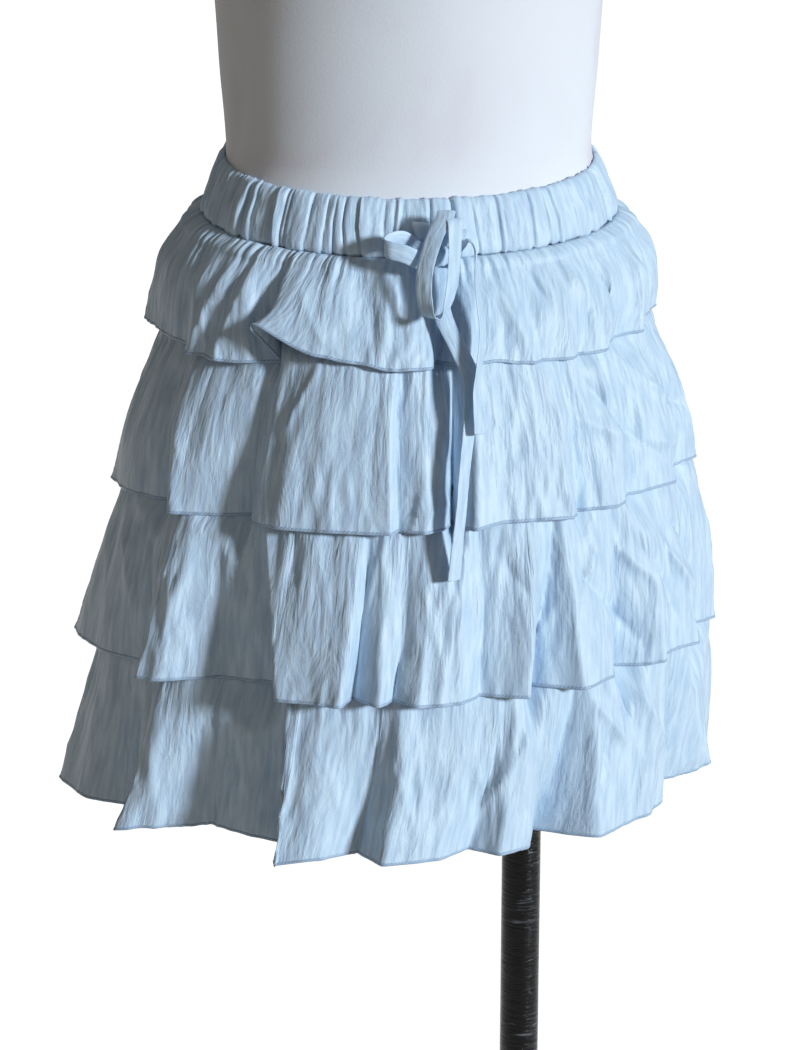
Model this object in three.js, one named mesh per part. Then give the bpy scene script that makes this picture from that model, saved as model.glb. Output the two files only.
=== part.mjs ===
// A gathered, four-tier skort with a drawstring, standing on a limbless dress form.
// Millimetres, +Z up. The floor is z = 0, the form's axis is x = y = 0, and the
// centre front faces -Y. Angles go round the axis from the centre front to +X.
import * as THREE from 'three'

const seamGap = 0.3
const clothWall = 1.2

// Dress form: one row for each level section, from the flat underside to the neck.
const formRings = [
  { z: 798, half: 138, front: 92, back: 96 },
  { z: 803, half: 146, front: 101, back: 105 },
  { z: 815, half: 149, front: 106, back: 110 },
  { z: 850, half: 150, front: 108.5, back: 113 },
  { z: 885, half: 144, front: 105.5, back: 111 },
  { z: 920, half: 136, front: 100, back: 105 },
  { z: 945, half: 131.5, front: 96, back: 100 },
  { z: 965, half: 129, front: 93.3, back: 96.5 },
  { z: 985, half: 126.8, front: 90.3, back: 93 },
  { z: 1000, half: 123.5, front: 87, back: 90 },
  { z: 1015, half: 118.5, front: 83.3, back: 87 },
  { z: 1031, half: 114.3, front: 82, back: 84.5 },
  { z: 1050, half: 114.6, front: 83.5, back: 83.5 },
  { z: 1080, half: 117, front: 87.5, back: 85 },
  { z: 1140, half: 121, front: 97, back: 89 },
  { z: 1190, half: 130, front: 110, back: 93 },
  { z: 1235, half: 139, front: 121, back: 96 },
  { z: 1285, half: 146, front: 110, back: 98 },
  { z: 1335, half: 156, front: 92, back: 97 },
  { z: 1380, half: 166, front: 75, back: 88 },
  { z: 1410, half: 163, front: 66, back: 80 },
  { z: 1432, half: 132, front: 60, back: 73 },
  { z: 1448, half: 92, front: 57, back: 67 },
  { z: 1462, half: 64, front: 55, back: 61 },
  { z: 1480, half: 54, front: 53, back: 56 },
  { z: 1505, half: 51, front: 51, back: 54 },
]
const formSides = 36
const neckCap = { radius: 50, height: 9, rim: 3, flare: 5 }

const pole = { x: 77, radius: 13, sides: 24 }
const base = { radius: 150, height: 6, chamfer: 2, sides: 48 }
const collar = { radius: 22, height: 20 }
const socket = { radius: 21, height: 20 }

// Waistband: an elastic casing that dips at the centre front.
const waist = {
  seamZ: 997, height: 33.5, dip: 15,
  inside: 0.5, thickBottom: 4.8, thickTop: 2.6, puff: 1.4,
  gathers: 64, gatherHigh: 2.1, gatherLow: 1.0, wander: 0.3,
}

// How much deeper every ring of the skirt is at the centre back than at the front.
const backEase = 5

// Hidden foundation that carries the lower three tiers: how far the middle of its
// wall stands off the form, at the sides (wide) and at the front and back (deep).
const foundation = [
  { z: 960, wide: 3, deep: 3 },
  { z: 920, wide: 3.2, deep: 3.2 },
  { z: 885, wide: 4.4, deep: 4.8 },
  { z: 850, wide: 6, deep: 8 },
  { z: 815, wide: 11, deep: 16 },
  { z: 751, wide: 18, deep: 29 },
]
const freeBelow = 815
const layerGap = clothWall + 2 * seamGap

// Levels that share out the height between the band and z = 960, where all is level.
const yoke = { z: 960, steps: 2 }

// Tiers, from the top one down. A ring's t is its share of the way from seam to hem,
// half and depth are the ring through the fold tops, and fold is how deep folds are.
// In folds, out is 1 on a fold top and 0 in a trough, lift raises the hem there and
// lean carries the hem sideways along the ring, both in millimetres.
const tiers = [
  {
    name: 'tier_1', underBand: true, seamZ: 997, hemZ: 921, shift: -5, backFolds: 11, wander: 5,
    rings: [
      { t: 0.12, half: 143, depth: 101, fold: 4 },
      { t: 0.35, half: 156, depth: 112, fold: 9 },
      { t: 0.65, half: 161, depth: 123, fold: 13 },
      { t: 1, half: 161.2, depth: 132.2, fold: 15 },
    ],
    folds: [
      { at: -100, out: 1, lift: 10 }, { at: -88, out: 0.7, lift: 9 }, { at: -75, out: 0.45, lift: 5 },
      { at: -61, out: 0.85, lift: 1 },
      { at: -50, out: 0.95 }, { at: -42, out: 0.15, lean: 5 }, { at: -35, out: 0.95, lean: -22, lift: 25 },
      { at: -27, out: 1, lean: -3, lift: 9 }, { at: -20, out: 0.85, lift: 5 }, { at: -12, out: 1, lift: 1 },
      { at: -4, out: 0.9, lift: 1 }, { at: 4, out: 0.2, lift: 2 }, { at: 10, out: 0.5, lift: 3 },
      { at: 17, out: 1, lift: 1 }, { at: 24, out: 0.75 }, { at: 31, out: 1 }, { at: 38, out: 0.5 },
      { at: 46, out: 1, lift: 3 }, { at: 56, out: 0.35, lift: 5 }, { at: 66, out: 1, lift: 9 },
      { at: 76, out: 0.7, lift: 13 }, { at: 86, out: 1, lift: 15 },
    ],
  },
  {
    name: 'tier_2', seamZ: 945, hemZ: 829.5, shift: -3, backFolds: 13, wander: 4,
    rings: [
      { t: 0.2, half: 143, depth: 110, fold: 2 },
      { t: 0.35, half: 163, depth: 123, fold: 8 },
      { t: 0.5, half: 174, depth: 135, fold: 13 },
      { t: 0.75, half: 184, depth: 149, fold: 17 },
      { t: 1, half: 187.4, depth: 157.4, fold: 20 },
    ],
    folds: [
      { at: -96, out: 1 }, { at: -85, out: 0.75 }, { at: -77, out: 0.35 }, { at: -68, out: 0.65 },
      { at: -59, out: 1 }, { at: -51, out: 0.9 }, { at: -42, out: 0.3 }, { at: -34, out: 0.75 },
      { at: -26, out: 0.9 }, { at: -20, out: 0.75 }, { at: -13, out: 1 }, { at: -8, out: 0.8 },
      { at: -3.5, out: 1 }, { at: 0.5, out: 0.55 }, { at: 7, out: 1, lift: 2 }, { at: 17, out: 0.95, lift: 2 },
      { at: 25, out: 0.85, lift: 1 }, { at: 34, out: 0.4, lift: 2 }, { at: 43, out: 0.65, lift: 3 },
      { at: 52, out: 0.3, lift: 5 }, { at: 62, out: 0.7, lift: 6 }, { at: 70, out: 0.6, lift: 8 },
      { at: 80, out: 1, lift: 10 }, { at: 90, out: 0.5, lift: 2 },
    ],
  },
  {
    name: 'tier_3', seamZ: 855, hemZ: 729.8, shift: -8, backFolds: 13, wander: 3.5,
    rings: [
      { t: 0.2, half: 164, depth: 131, fold: 2 },
      { t: 0.35, half: 186, depth: 144, fold: 10 },
      { t: 0.5, half: 195, depth: 156, fold: 16 },
      { t: 0.75, half: 203, depth: 170, fold: 22 },
      { t: 1, half: 208, depth: 178.9, fold: 26 },
    ],
    folds: [
      { at: -96, out: 1 }, { at: -87, out: 0.55 }, { at: -78, out: 0.15 }, { at: -70, out: 0.35 },
      { at: -63, out: 0.85 }, { at: -54, out: 0.7 }, { at: -47, out: 0.8 }, { at: -38.5, out: 0.05 },
      { at: -32, out: 0.8 }, { at: -23, out: 0.95 }, { at: -17.5, out: 0.35 }, { at: -13, out: 0.75 },
      { at: -9, out: 0.85 }, { at: -2, out: 1 }, { at: 5, out: 0.95 }, { at: 11, out: 0.9 }, { at: 17, out: 0.45 },
      { at: 24, out: 0.95 }, { at: 32, out: 0.8 }, { at: 39, out: 0.7 }, { at: 47, out: 0.1, lift: 3 },
      { at: 55, out: 0.55, lift: 3 }, { at: 64, out: 0.4, lift: 3 }, { at: 76, out: 1 }, { at: 88, out: 0.45 },
    ],
  },
  {
    name: 'tier_4', seamZ: 755, hemZ: 633.5, shift: -14, backFolds: 13, wander: 4,
    rings: [
      { t: 0.2, half: 173, depth: 146, fold: 3 },
      { t: 0.35, half: 194, depth: 157, fold: 13 },
      { t: 0.6, half: 206, depth: 170, fold: 22 },
      { t: 1, half: 214.5, depth: 184.5, fold: 30 },
    ],
    folds: [
      { at: -92, out: 1 }, { at: -82, out: 0.6 }, { at: -72, out: 0.2 }, { at: -65, out: 0.9, lift: -3 },
      { at: -57, out: 0.7 }, { at: -48, out: 0.5 }, { at: -40, out: 0.05 }, { at: -31, out: 0.9, lift: -3 },
      { at: -22, out: 1 }, { at: -14, out: 0.8 }, { at: -8, out: 1 }, { at: -1, out: 0.85 }, { at: 6, out: 0.25 },
      { at: 12, out: 0.65 }, { at: 18, out: 0.4 }, { at: 24.5, out: 0 }, { at: 33, out: 0.6 },
      { at: 42, out: 0.35, lift: 3 }, { at: 52, out: 0.75, lift: 4 }, { at: 60, out: 0.35, lift: 5 },
      { at: 70, out: 0.55, lift: 12 }, { at: 80, out: 1, lift: 6 }, { at: 90, out: 0.5 },
    ],
  },
]
const columnStep = 5.2

// Shorts: leg says how far a level has gone from half the body's ring to a leg's own.
const shorts = {
  offForm: 1.4,
  leg: { middle: 80, half: 79.2, depth: 96 },
  levels: [
    { z: 960, leg: 0 },
    { z: 920, leg: 0 },
    { z: 885, leg: 0 },
    { z: 850, leg: 0 },
    { z: 815, leg: 0 },
    { z: 795, leg: 0.02 },
    { z: 788, leg: 0.5 },
    { z: 780, leg: 1 },
    { z: 715, leg: 1 },
  ],
}

// Self-fabric ties, flat strips that follow these routes. at is a point and wide is
// the direction of the strip's width there.
const tie = { width: 11, thick: 1.6 }
const knot = { x: -5, y: -104.2, z: 984.5, halfX: 6, halfY: 6.2, halfZ: 6, corner: 2 }
const level = [1, 0, 0]
const upright = [0, 0, 1]
const tieRoutes = {
  tie_end_left: {
    steps: 6,
    points: [
      { at: [-14, -94.8, 1003], wide: level },
      { at: [-14.4, -98.4, 1001], wide: level },
      { at: [-13.6, -100.9, 996.6], wide: level },
      { at: [-12, -101.2, 991.2], wide: level },
    ],
  },
  tie_end_right: {
    steps: 6,
    points: [
      { at: [8.7, -95.1, 998], wide: level },
      { at: [8.6, -98, 997], wide: level },
      { at: [7, -99.9, 994], wide: level },
      { at: [4.6, -100.2, 991.2], wide: level },
    ],
  },
  tie_loop_small: {
    steps: 18,
    points: [
      { at: [-13.8, -103.6, 986.6], wide: upright },
      { at: [-20, -103.8, 989.6], wide: upright },
      { at: [-27, -104.6, 995], wide: upright },
      { at: [-35, -107, 994.4], wide: upright },
      { at: [-38.6, -110.6, 992], wide: upright },
      { at: [-36, -114, 990.6], wide: upright },
      { at: [-28.4, -115.4, 988.6], wide: upright },
      { at: [-20, -114.6, 984.6], wide: upright },
      { at: [-12.4, -109.6, 981.5], wide: upright },
    ],
  },
  tie_loop_large: {
    steps: 30,
    points: [
      { at: [-5, -104.4, 991.2], wide: level },
      { at: [-4.4, -103.6, 998], wide: level },
      { at: [-2, -104.2, 1007], wide: level },
      { at: [-1.2, -107.4, 1011.6], wide: [0.98, -0.2, 0] },
      { at: [-3.4, -111.6, 1008.4], wide: [0.95, -0.3, 0] },
      { at: [-9.6, -116, 1000], wide: [0.9, -0.42, 0] },
      { at: [-14, -120, 990.6], wide: [0.85, -0.52, 0] },
      { at: [-18, -124.4, 980], wide: [0.8, -0.6, 0] },
      { at: [-19.6, -129, 967.7], wide: [0.75, -0.65, 0] },
      { at: [-18, -132.4, 957.6], wide: [0.6, -0.8, 0] },
      { at: [-12.6, -134, 953.4], wide: [0.05, -1, 0] },
      { at: [-7, -132.6, 959.6], wide: [-0.6, -0.8, 0] },
      { at: [-2.6, -128.4, 972], wide: [-0.75, -0.65, 0] },
      { at: [0, -123, 986], wide: [-0.8, -0.6, 0] },
      { at: [1.6, -117.6, 999], wide: [-0.85, -0.5, 0] },
      { at: [2.4, -113.4, 1006.4], wide: [-0.95, -0.3, 0] },
      { at: [1.2, -110.4, 1006.6], wide: [-1, -0.1, 0] },
      { at: [-1.6, -109, 999.6], wide: [-1, 0, 0] },
      { at: [-4, -108.4, 991.2], wide: [-1, 0, 0] },
    ],
  },
  tie_tail_short: {
    steps: 20,
    points: [
      { at: [2.5, -107, 985.8], wide: [0, -1, 0] },
      { at: [5.4, -107.5, 986.6], wide: [0, -1, 0] },
      { at: [8.6, -108.4, 990.6], wide: [0.15, -1, 0] },
      { at: [12, -109.6, 993.8], wide: [0.3, -0.95, 0] },
      { at: [15, -111.4, 989.6], wide: [0.45, -0.9, 0] },
      { at: [15, -115, 980.4], wide: [0.5, -0.86, 0] },
      { at: [13.8, -122.4, 969.6], wide: [0.5, -0.86, 0] },
      { at: [13.9, -128, 959], wide: [0.5, -0.86, 0] },
      { at: [14, -135.4, 945], wide: [0.55, -0.83, 0] },
      { at: [10.8, -142.8, 928], wide: [0.6, -0.8, 0] },
      { at: [8.2, -147.2, 912.4], wide: [0.7, -0.7, 0] },
      { at: [8.4, -151, 900], wide: [0.8, -0.6, 0] },
      { at: [8.6, -154, 887.4], wide: [0.85, -0.5, 0] },
    ],
  },
  tie_tail_long: {
    steps: 26,
    points: [
      { at: [-5, -106.4, 977.8], wide: level },
      { at: [-5.6, -112.4, 968], wide: level },
      { at: [-6.8, -119.4, 957.6], wide: level },
      { at: [-5.4, -124.4, 948.6], wide: level },
      { at: [-1.2, -129.4, 938.6], wide: level },
      { at: [2.8, -134.4, 929], wide: level },
      { at: [6, -138, 921], wide: level },
      { at: [6.6, -141, 912], wide: level },
      { at: [5.4, -144.6, 901], wide: level },
      { at: [2.6, -150, 886], wide: level },
      { at: [-1.3, -157, 866], wide: level },
      { at: [-3.9, -161.4, 846], wide: level },
      { at: [-6.4, -163, 825], wide: level },
      { at: [-8.6, -163, 802], wide: level },
    ],
  },
}

const clothMaterial = { color: '#a9c1da', roughness: 0.85, metalness: 0 }
const formMaterial = { color: '#d9dae3', roughness: 0.6, metalness: 0 }
const blackMaterial = { color: '#121316', roughness: 0.25, metalness: 0.3 }
const steelMaterial = { color: '#8b8d92', roughness: 0.35, metalness: 0.8 }

const radians = THREE.MathUtils.degToRad
const mix = THREE.MathUtils.lerp

// ---- curves and tables -------------------------------------------------------

// A smooth value of one column at a place along another, by cubic Hermite pieces.
function curveThrough(rows, key, column, place) {
  const rising = rows[rows.length - 1][key] > rows[0][key]
  const ordered = rising ? rows : [...rows].reverse()
  const last = ordered.length - 1
  if (place <= ordered[0][key]) return ordered[0][column]
  if (place >= ordered[last][key]) return ordered[last][column]
  const i = ordered.findIndex((row, k) => k < last && place < ordered[k + 1][key])
  const slope = (k) => {
    const a = ordered[Math.max(k - 1, 0)]
    const b = ordered[Math.min(k + 1, last)]
    return (b[column] - a[column]) / (b[key] - a[key])
  }
  const from = ordered[i]
  const to = ordered[i + 1]
  const span = to[key] - from[key]
  const s = (place - from[key]) / span
  const keepFrom = (1 + 2 * s) * (1 - s) ** 2
  const keepTo = s * s * (3 - 2 * s)
  const bend = slope(i) * span * s * (1 - s) ** 2 - slope(i + 1) * span * s * s * (1 - s)
  return keepFrom * from[column] + keepTo * to[column] + bend
}

// A value that eases from one fold row to the next, right round the ring.
function foldValue(folds, column, angle) {
  const turn = folds[0].at + ((((angle - folds[0].at) % 360) + 360) % 360)
  let i = folds.length - 1
  while (folds[i].at > turn) i -= 1
  const from = folds[i]
  const to = folds[(i + 1) % folds.length]
  const end = i + 1 < folds.length ? to.at : to.at + 360
  const ease = 0.5 - 0.5 * Math.cos(Math.PI * (turn - from.at) / (end - from.at))
  return mix(from[column] ?? 0, to[column] ?? 0, ease)
}

// The rows of the front and sides, then uneven folds like them round the back.
function allFolds(tier) {
  const folds = [...tier.folds]
  const last = folds[folds.length - 1]
  const room = folds[0].at + 360 - last.at
  const lastIsTop = last.out > 0.6
  const places = 2 * tier.backFolds + (lastIsTop ? 0 : 1)
  for (let k = 1; k < places; k += 1) {
    const sway = Math.sin(2.4 * k + tier.seamZ)
    const isTop = (k % 2 === 1) !== lastIsTop
    const out = isTop ? 0.85 + 0.15 * sway : 0.4 + 0.2 * sway
    folds.push({ at: last.at + room * k / places + sway * tier.wander * 0.4, out })
  }
  return folds
}

// ---- meshes ------------------------------------------------------------------

function meshOf(name, geometry, material) {
  geometry.computeVertexNormals()
  const mesh = new THREE.Mesh(geometry, new THREE.MeshStandardMaterial(material))
  mesh.name = name
  return mesh
}

function geometryOf(points, faces) {
  const geometry = new THREE.BufferGeometry()
  const values = points.flatMap((p) => [p.x, p.y, p.z])
  geometry.setAttribute('position', new THREE.Float32BufferAttribute(values, 3))
  geometry.setIndex(faces.flat())
  return geometry
}

// A closed wall between two grids of points. Rows go down and columns go round
// towards +X on the front. A ring joins its last column to its first.
function wallGeometry(outer, inner, ring = false) {
  const rows = outer.length
  const columns = outer[0].length
  const points = [...outer.flat(), ...inner.flat()]
  const inside = rows * columns
  const faces = []
  const quad = (a, b, c, d) => faces.push([a, b, c], [a, c, d])
  const next = (c) => (ring ? (c + 1) % columns : c + 1)
  const at = (r, c) => r * columns + c
  for (let c = 0; c < (ring ? columns : columns - 1); c += 1) {
    for (let r = 0; r + 1 < rows; r += 1) {
      quad(at(r, c), at(r + 1, c), at(r + 1, next(c)), at(r, next(c)))
      quad(inside + at(r, next(c)), inside + at(r + 1, next(c)), inside + at(r + 1, c), inside + at(r, c))
    }
    quad(at(0, c), at(0, next(c)), inside + at(0, next(c)), inside + at(0, c))
    const hem = rows - 1
    quad(at(hem, next(c)), at(hem, c), inside + at(hem, c), inside + at(hem, next(c)))
  }
  const side = columns - 1
  for (let r = 0; r + 1 < rows && !ring; r += 1) {
    quad(at(r + 1, 0), at(r, 0), inside + at(r, 0), inside + at(r + 1, 0))
    quad(at(r, side), at(r + 1, side), inside + at(r + 1, side), inside + at(r, side))
  }
  return geometryOf(points, faces)
}

// A cloth wall on both sides of a surface that is given as a function.
function clothGeometry(surface, across, down, stepAcross = 0.4) {
  const stepDown = 0.01
  const side = (sign) => down.map((t) => across.map((u) => {
    const right = surface(u + stepAcross, t).sub(surface(u - stepAcross, t))
    const below = surface(u, Math.min(t + stepDown, 1)).sub(surface(u, Math.max(t - stepDown, 0)))
    const outward = below.cross(right).normalize()
    return surface(u, t).addScaledVector(outward, sign * clothWall / 2)
  }))
  return wallGeometry(side(1), side(-1))
}

// ---- dress form and stand ----------------------------------------------------

function ringPoint(half, depth, angle, z) {
  return new THREE.Vector3(half * Math.sin(angle), -depth * Math.cos(angle), z)
}

function formSection(z, angle) {
  const half = curveThrough(formRings, 'z', 'half', z)
  const front = curveThrough(formRings, 'z', 'front', z)
  const back = curveThrough(formRings, 'z', 'back', z)
  return { half, depth: mix(back, front, (1 + Math.cos(angle)) / 2) }
}

function formPoint(z, angle, off = 0) {
  const { half, depth } = formSection(z, angle)
  return ringPoint(half + off, depth + off, angle, z)
}

// A closed solid through level loops, from the lowest to the highest.
function loftGeometry(loops) {
  const sides = loops[0].length
  const middle = (loop) => loop.reduce((sum, p) => sum.add(p), new THREE.Vector3()).divideScalar(sides)
  const points = [...loops.flat(), middle(loops[0]), middle(loops[loops.length - 1])]
  const low = loops.length * sides
  const faces = []
  for (let c = 0; c < sides; c += 1) {
    const n = (c + 1) % sides
    for (let r = 0; r + 1 < loops.length; r += 1) {
      const a = r * sides
      const b = a + sides
      faces.push([a + c, a + n, b + n], [a + c, b + n, b + c])
    }
    const top = (loops.length - 1) * sides
    faces.push([low, n, c], [low + 1, top + c, top + n])
  }
  return geometryOf(points, faces)
}

function roundLoop(radius, z, sides, x = 0) {
  return Array.from({ length: sides }, (_, k) => {
    const angle = 2 * Math.PI * k / sides
    return new THREE.Vector3(x + radius * Math.sin(angle), -radius * Math.cos(angle), z)
  })
}

function formTorso() {
  const loops = formRings.map(({ z }) => Array.from({ length: formSides }, (_, k) => (
    formPoint(z, 2 * Math.PI * k / formSides)
  )))
  return meshOf('form_torso', loftGeometry(loops), formMaterial)
}

function formNeckCap() {
  const z = formRings[formRings.length - 1].z + seamGap
  const { radius, height, rim, flare } = neckCap
  const loops = [
    roundLoop(radius, z, 32),
    roundLoop(radius + flare, z + rim, 32),
    roundLoop(radius + flare, z + height - rim, 32),
    roundLoop(radius + flare - rim, z + height, 32),
  ]
  return meshOf('form_neck_cap', loftGeometry(loops), steelMaterial)
}

function cylinder(name, radius, low, high, material) {
  const loops = [roundLoop(radius, low, pole.sides, pole.x), roundLoop(radius, high, pole.sides, pole.x)]
  return meshOf(name, loftGeometry(loops), material)
}

function standBase() {
  const { radius, height, chamfer, sides } = base
  const loops = [
    roundLoop(radius, 0, sides),
    roundLoop(radius, height - chamfer, sides),
    roundLoop(radius - chamfer, height, sides),
  ]
  return meshOf('stand_base', loftGeometry(loops), blackMaterial)
}

function stand() {
  const collarLow = base.height + seamGap
  const collarHigh = collarLow + collar.height
  const socketHigh = formRings[0].z - seamGap
  const socketLow = socketHigh - socket.height
  return [
    standBase(),
    cylinder('stand_collar', collar.radius, collarLow, collarHigh, blackMaterial),
    cylinder('stand_pole', pole.radius, collarHigh + seamGap, socketLow - seamGap, blackMaterial),
    cylinder('stand_socket', socket.radius, socketLow, socketHigh, blackMaterial),
  ]
}

// ---- garment -----------------------------------------------------------------

function easeAt(angle) {
  return backEase * (1 - Math.cos(angle)) / 2
}

function waistSeamZ(angle) {
  return waist.seamZ - waist.dip * Math.cos(angle)
}

// A half turn of the waistband: plain inside, gathers raised on the outside.
function waistband(name, start) {
  const places = Array.from({ length: waist.gathers + 1 }, (_, k) => k)
  const downward = [1, 0.8, 0.22, 0]
  const angleAt = (k) => {
    const inner = k > 0 && k < waist.gathers
    const stray = inner ? waist.wander * Math.sin(1.7 * k + start) : 0
    return radians(start + 180 * (k + stray) / waist.gathers)
  }
  const margin = (k) => (k === 0 ? 1 : 0) - (k === waist.gathers ? 1 : 0)
  const grid = (offAt) => downward.map((t) => places.map((k) => {
    const angle = angleAt(k) + margin(k) * seamGap / 2 / formSection(waist.seamZ, 0).half
    const z = waistSeamZ(angle) + t * waist.height
    return formPoint(z, angle, offAt(t, k))
  }))
  const outside = (t, k) => {
    const swell = Math.sin(Math.PI * t)
    const high = mix(waist.gatherLow, waist.gatherHigh, 0.5 + 0.5 * Math.sin(2.4 * k + start))
    const raised = k % 2 === 1 ? high : 0
    return waist.inside + mix(waist.thickBottom, waist.thickTop, t) + waist.puff * swell + raised
  }
  const geometry = wallGeometry(grid(outside), grid(() => waist.inside))
  return meshOf(name, geometry, clothMaterial)
}

function seamEdges(start, radius) {
  const margin = THREE.MathUtils.radToDeg(seamGap / 2 / radius)
  return [start + margin, start + 180 - margin]
}

// Column angles of half a ring: every fold row and even steps between them.
function foldColumns(folds, start, radius) {
  const [first, last] = seamEdges(start, radius)
  const turns = folds.flatMap(({ at }) => [at - 360, at, at + 360])
  const kept = turns.filter((at) => at > first + 1 && at < last - 1).sort((a, b) => a - b)
  const stops = [first, ...kept, last]
  const columns = [first]
  for (let i = 1; i < stops.length; i += 1) {
    const gap = stops[i] - stops[i - 1]
    const parts = Math.max(1, Math.ceil(gap / columnStep))
    for (let k = 1; k <= parts; k += 1) columns.push(stops[i - 1] + gap * k / parts)
  }
  return columns
}

function foundationRing(z, angle) {
  const body = formSection(Math.max(z, freeBelow), angle)
  return {
    half: body.half + curveThrough(foundation, 'z', 'wide', z),
    depth: body.depth + curveThrough(foundation, 'z', 'deep', z),
  }
}

// Where a tier is sewn on: just outside the foundation, under the band for the first.
function tierSeat(tier, angle) {
  const z = tier.underBand ? waistSeamZ(angle) - 2.4 * seamGap : tier.seamZ
  const ring = foundationRing(z, angle)
  return { z, half: ring.half + layerGap, depth: ring.depth + layerGap }
}

function tierPoint(tier, folds, degrees, t) {
  const inward = (1 - foldValue(folds, 'out', degrees)) * curveThrough(tier.rings, 't', 'fold', t)
  const lean = foldValue(folds, 'lean', degrees) * t * t
  const half = curveThrough(tier.rings, 't', 'half', t) - inward
  const depth = curveThrough(tier.rings, 't', 'depth', t) - inward
  const angle = radians(degrees) + lean / (0.5 * (half + depth))
  const seat = tierSeat(tier, angle)
  const free = Math.min(t / tier.rings[0].t, 1)
  const z = mix(seat.z, tier.hemZ, t) + foldValue(folds, 'lift', degrees) * t * t
  const point = ringPoint(mix(seat.half, half, free), mix(seat.depth, depth + easeAt(angle), free), angle, z)
  point.x += tier.shift * t * t
  return point
}

function tierHalf(tier, side, start) {
  const folds = allFolds(tier)
  const columns = foldColumns(folds, start, tier.rings[0].half)
  const levels = [0, ...tier.rings.map(({ t }) => t)]
  const surface = (u, t) => tierPoint(tier, folds, u, t)
  return meshOf(`${tier.name}_${side}`, clothGeometry(surface, columns, levels), clothMaterial)
}

// The z of one row of a layer that hangs from the band: its top edge follows the
// band, and the rows even out to the level ones of its table.
function hangingZ(levels, angle, row) {
  if (row >= yoke.steps) return levels[row - yoke.steps].z
  return mix(waistSeamZ(angle) - 2 * seamGap, yoke.z, row / yoke.steps)
}

function hangingRows(levels) {
  const last = levels.length + yoke.steps - 1
  return Array.from({ length: last + 1 }, (_, row) => row / last)
}

// Which two rows a share t of the way down lies between, and how far along.
function rowAt(levels, t) {
  const place = t * (levels.length + yoke.steps - 1)
  const row = Math.min(Math.floor(place + 1e-9), levels.length + yoke.steps - 2)
  return { row, part: place - row }
}

function foundationPoint(degrees, t) {
  const angle = radians(degrees)
  const { row, part } = rowAt(foundation, t)
  const z = mix(hangingZ(foundation, angle, row), hangingZ(foundation, angle, row + 1), part)
  const ring = foundationRing(z, angle)
  return ringPoint(ring.half, ring.depth, angle, z)
}

function foundationHalf(side, start) {
  const [first, last] = seamEdges(start, formRings[0].half)
  const columns = Array.from({ length: formSides / 2 + 1 }, (_, k) => mix(first, last, 2 * k / formSides))
  const geometry = clothGeometry(foundationPoint, columns, hangingRows(foundation))
  return meshOf(`skirt_base_${side}`, geometry, clothMaterial)
}

// Half of the shorts on the +X side. u goes from the centre front round the outside
// to the centre back, and below the crotch the same strip closes at the inseam.
function shortsPoint(u, t) {
  const { levels, leg, offForm } = shorts
  const angle = Math.PI * u
  const { row, part } = rowAt(levels, t)
  const z = mix(hangingZ(levels, angle, row), hangingZ(levels, angle, row + 1), part)
  const legAt = (k) => (k < yoke.steps ? 0 : levels[k - yoke.steps].leg)
  const share = mix(legAt(row), legAt(row + 1), part)
  const body = formPoint(Math.max(z, freeBelow), angle, offForm)
  const legX = leg.middle - leg.half * Math.cos(2 * angle)
  const legY = -leg.depth * Math.sin(2 * angle)
  return new THREE.Vector3(mix(body.x, legX, share), mix(body.y, legY, share), z)
}

function shortsHalf(name, sign) {
  const steps = formSides / 2
  const edge = seamGap / 2 / (Math.PI * shorts.leg.depth)
  const order = Array.from({ length: steps + 1 }, (_, k) => mix(edge, 1 - edge, k / steps))
  const columns = sign > 0 ? order : order.reverse()
  const surface = (u, t) => {
    const point = shortsPoint(u, t)
    point.x *= sign
    return point
  }
  const geometry = clothGeometry(surface, columns, hangingRows(shorts.levels), sign * 0.004)
  return meshOf(name, geometry, clothMaterial)
}

function tieStrip(name, { points, steps }) {
  const route = new THREE.CatmullRomCurve3(points.map(({ at }) => new THREE.Vector3(...at)), false, 'catmullrom')
  const widths = new THREE.CatmullRomCurve3(points.map(({ wide }) => new THREE.Vector3(...wide)), false, 'catmullrom')
  const w = tie.width / 2
  const h = tie.thick / 2
  const section = [[w, -h / 2], [w, h / 2], [w - h, h], [h - w, h], [-w, h / 2], [-w, -h / 2], [h - w, -h], [w - h, -h]]
  const loops = Array.from({ length: steps + 1 }, (_, k) => {
    const along = k / steps
    const middle = route.getPoint(along)
    const tangent = route.getTangent(along)
    const across = widths.getPoint(along)
    across.addScaledVector(tangent, -across.dot(tangent)).normalize()
    const face = tangent.clone().cross(across)
    return section.map(([a, b]) => middle.clone().addScaledVector(across, a).addScaledVector(face, b))
  })
  return meshOf(name, loftGeometry(loops), clothMaterial)
}

function tieKnot() {
  const { x, y, z, halfX, halfY, halfZ, corner } = knot
  const loop = (inset, height) => Array.from({ length: 16 }, (_, k) => {
    const angle = 2 * Math.PI * k / 16
    const squash = (v) => Math.sign(v) * Math.abs(v) ** 0.6
    return new THREE.Vector3(
      x + (halfX - inset) * squash(Math.sin(angle)),
      y - (halfY - inset) * squash(Math.cos(angle)),
      z + height,
    )
  })
  const loops = [loop(corner, -halfZ), loop(0, corner - halfZ), loop(0, halfZ - corner), loop(corner, halfZ)]
  return meshOf('tie_knot', loftGeometry(loops), clothMaterial)
}

const garment = new THREE.Group()
garment.name = 'tiered_skort'
garment.add(waistband('waistband_front', -90), waistband('waistband_back', 90))
for (const tier of tiers) {
  garment.add(tierHalf(tier, 'front', -90), tierHalf(tier, 'back', 90))
}
garment.add(foundationHalf('front', -90), foundationHalf('back', 90))
garment.add(shortsHalf('shorts_left', 1), shortsHalf('shorts_right', -1))
garment.add(...Object.entries(tieRoutes).map(([name, route]) => tieStrip(name, route)), tieKnot())

const dressForm = new THREE.Group()
dressForm.name = 'dress_form'
dressForm.add(formTorso(), formNeckCap(), ...stand())

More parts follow.
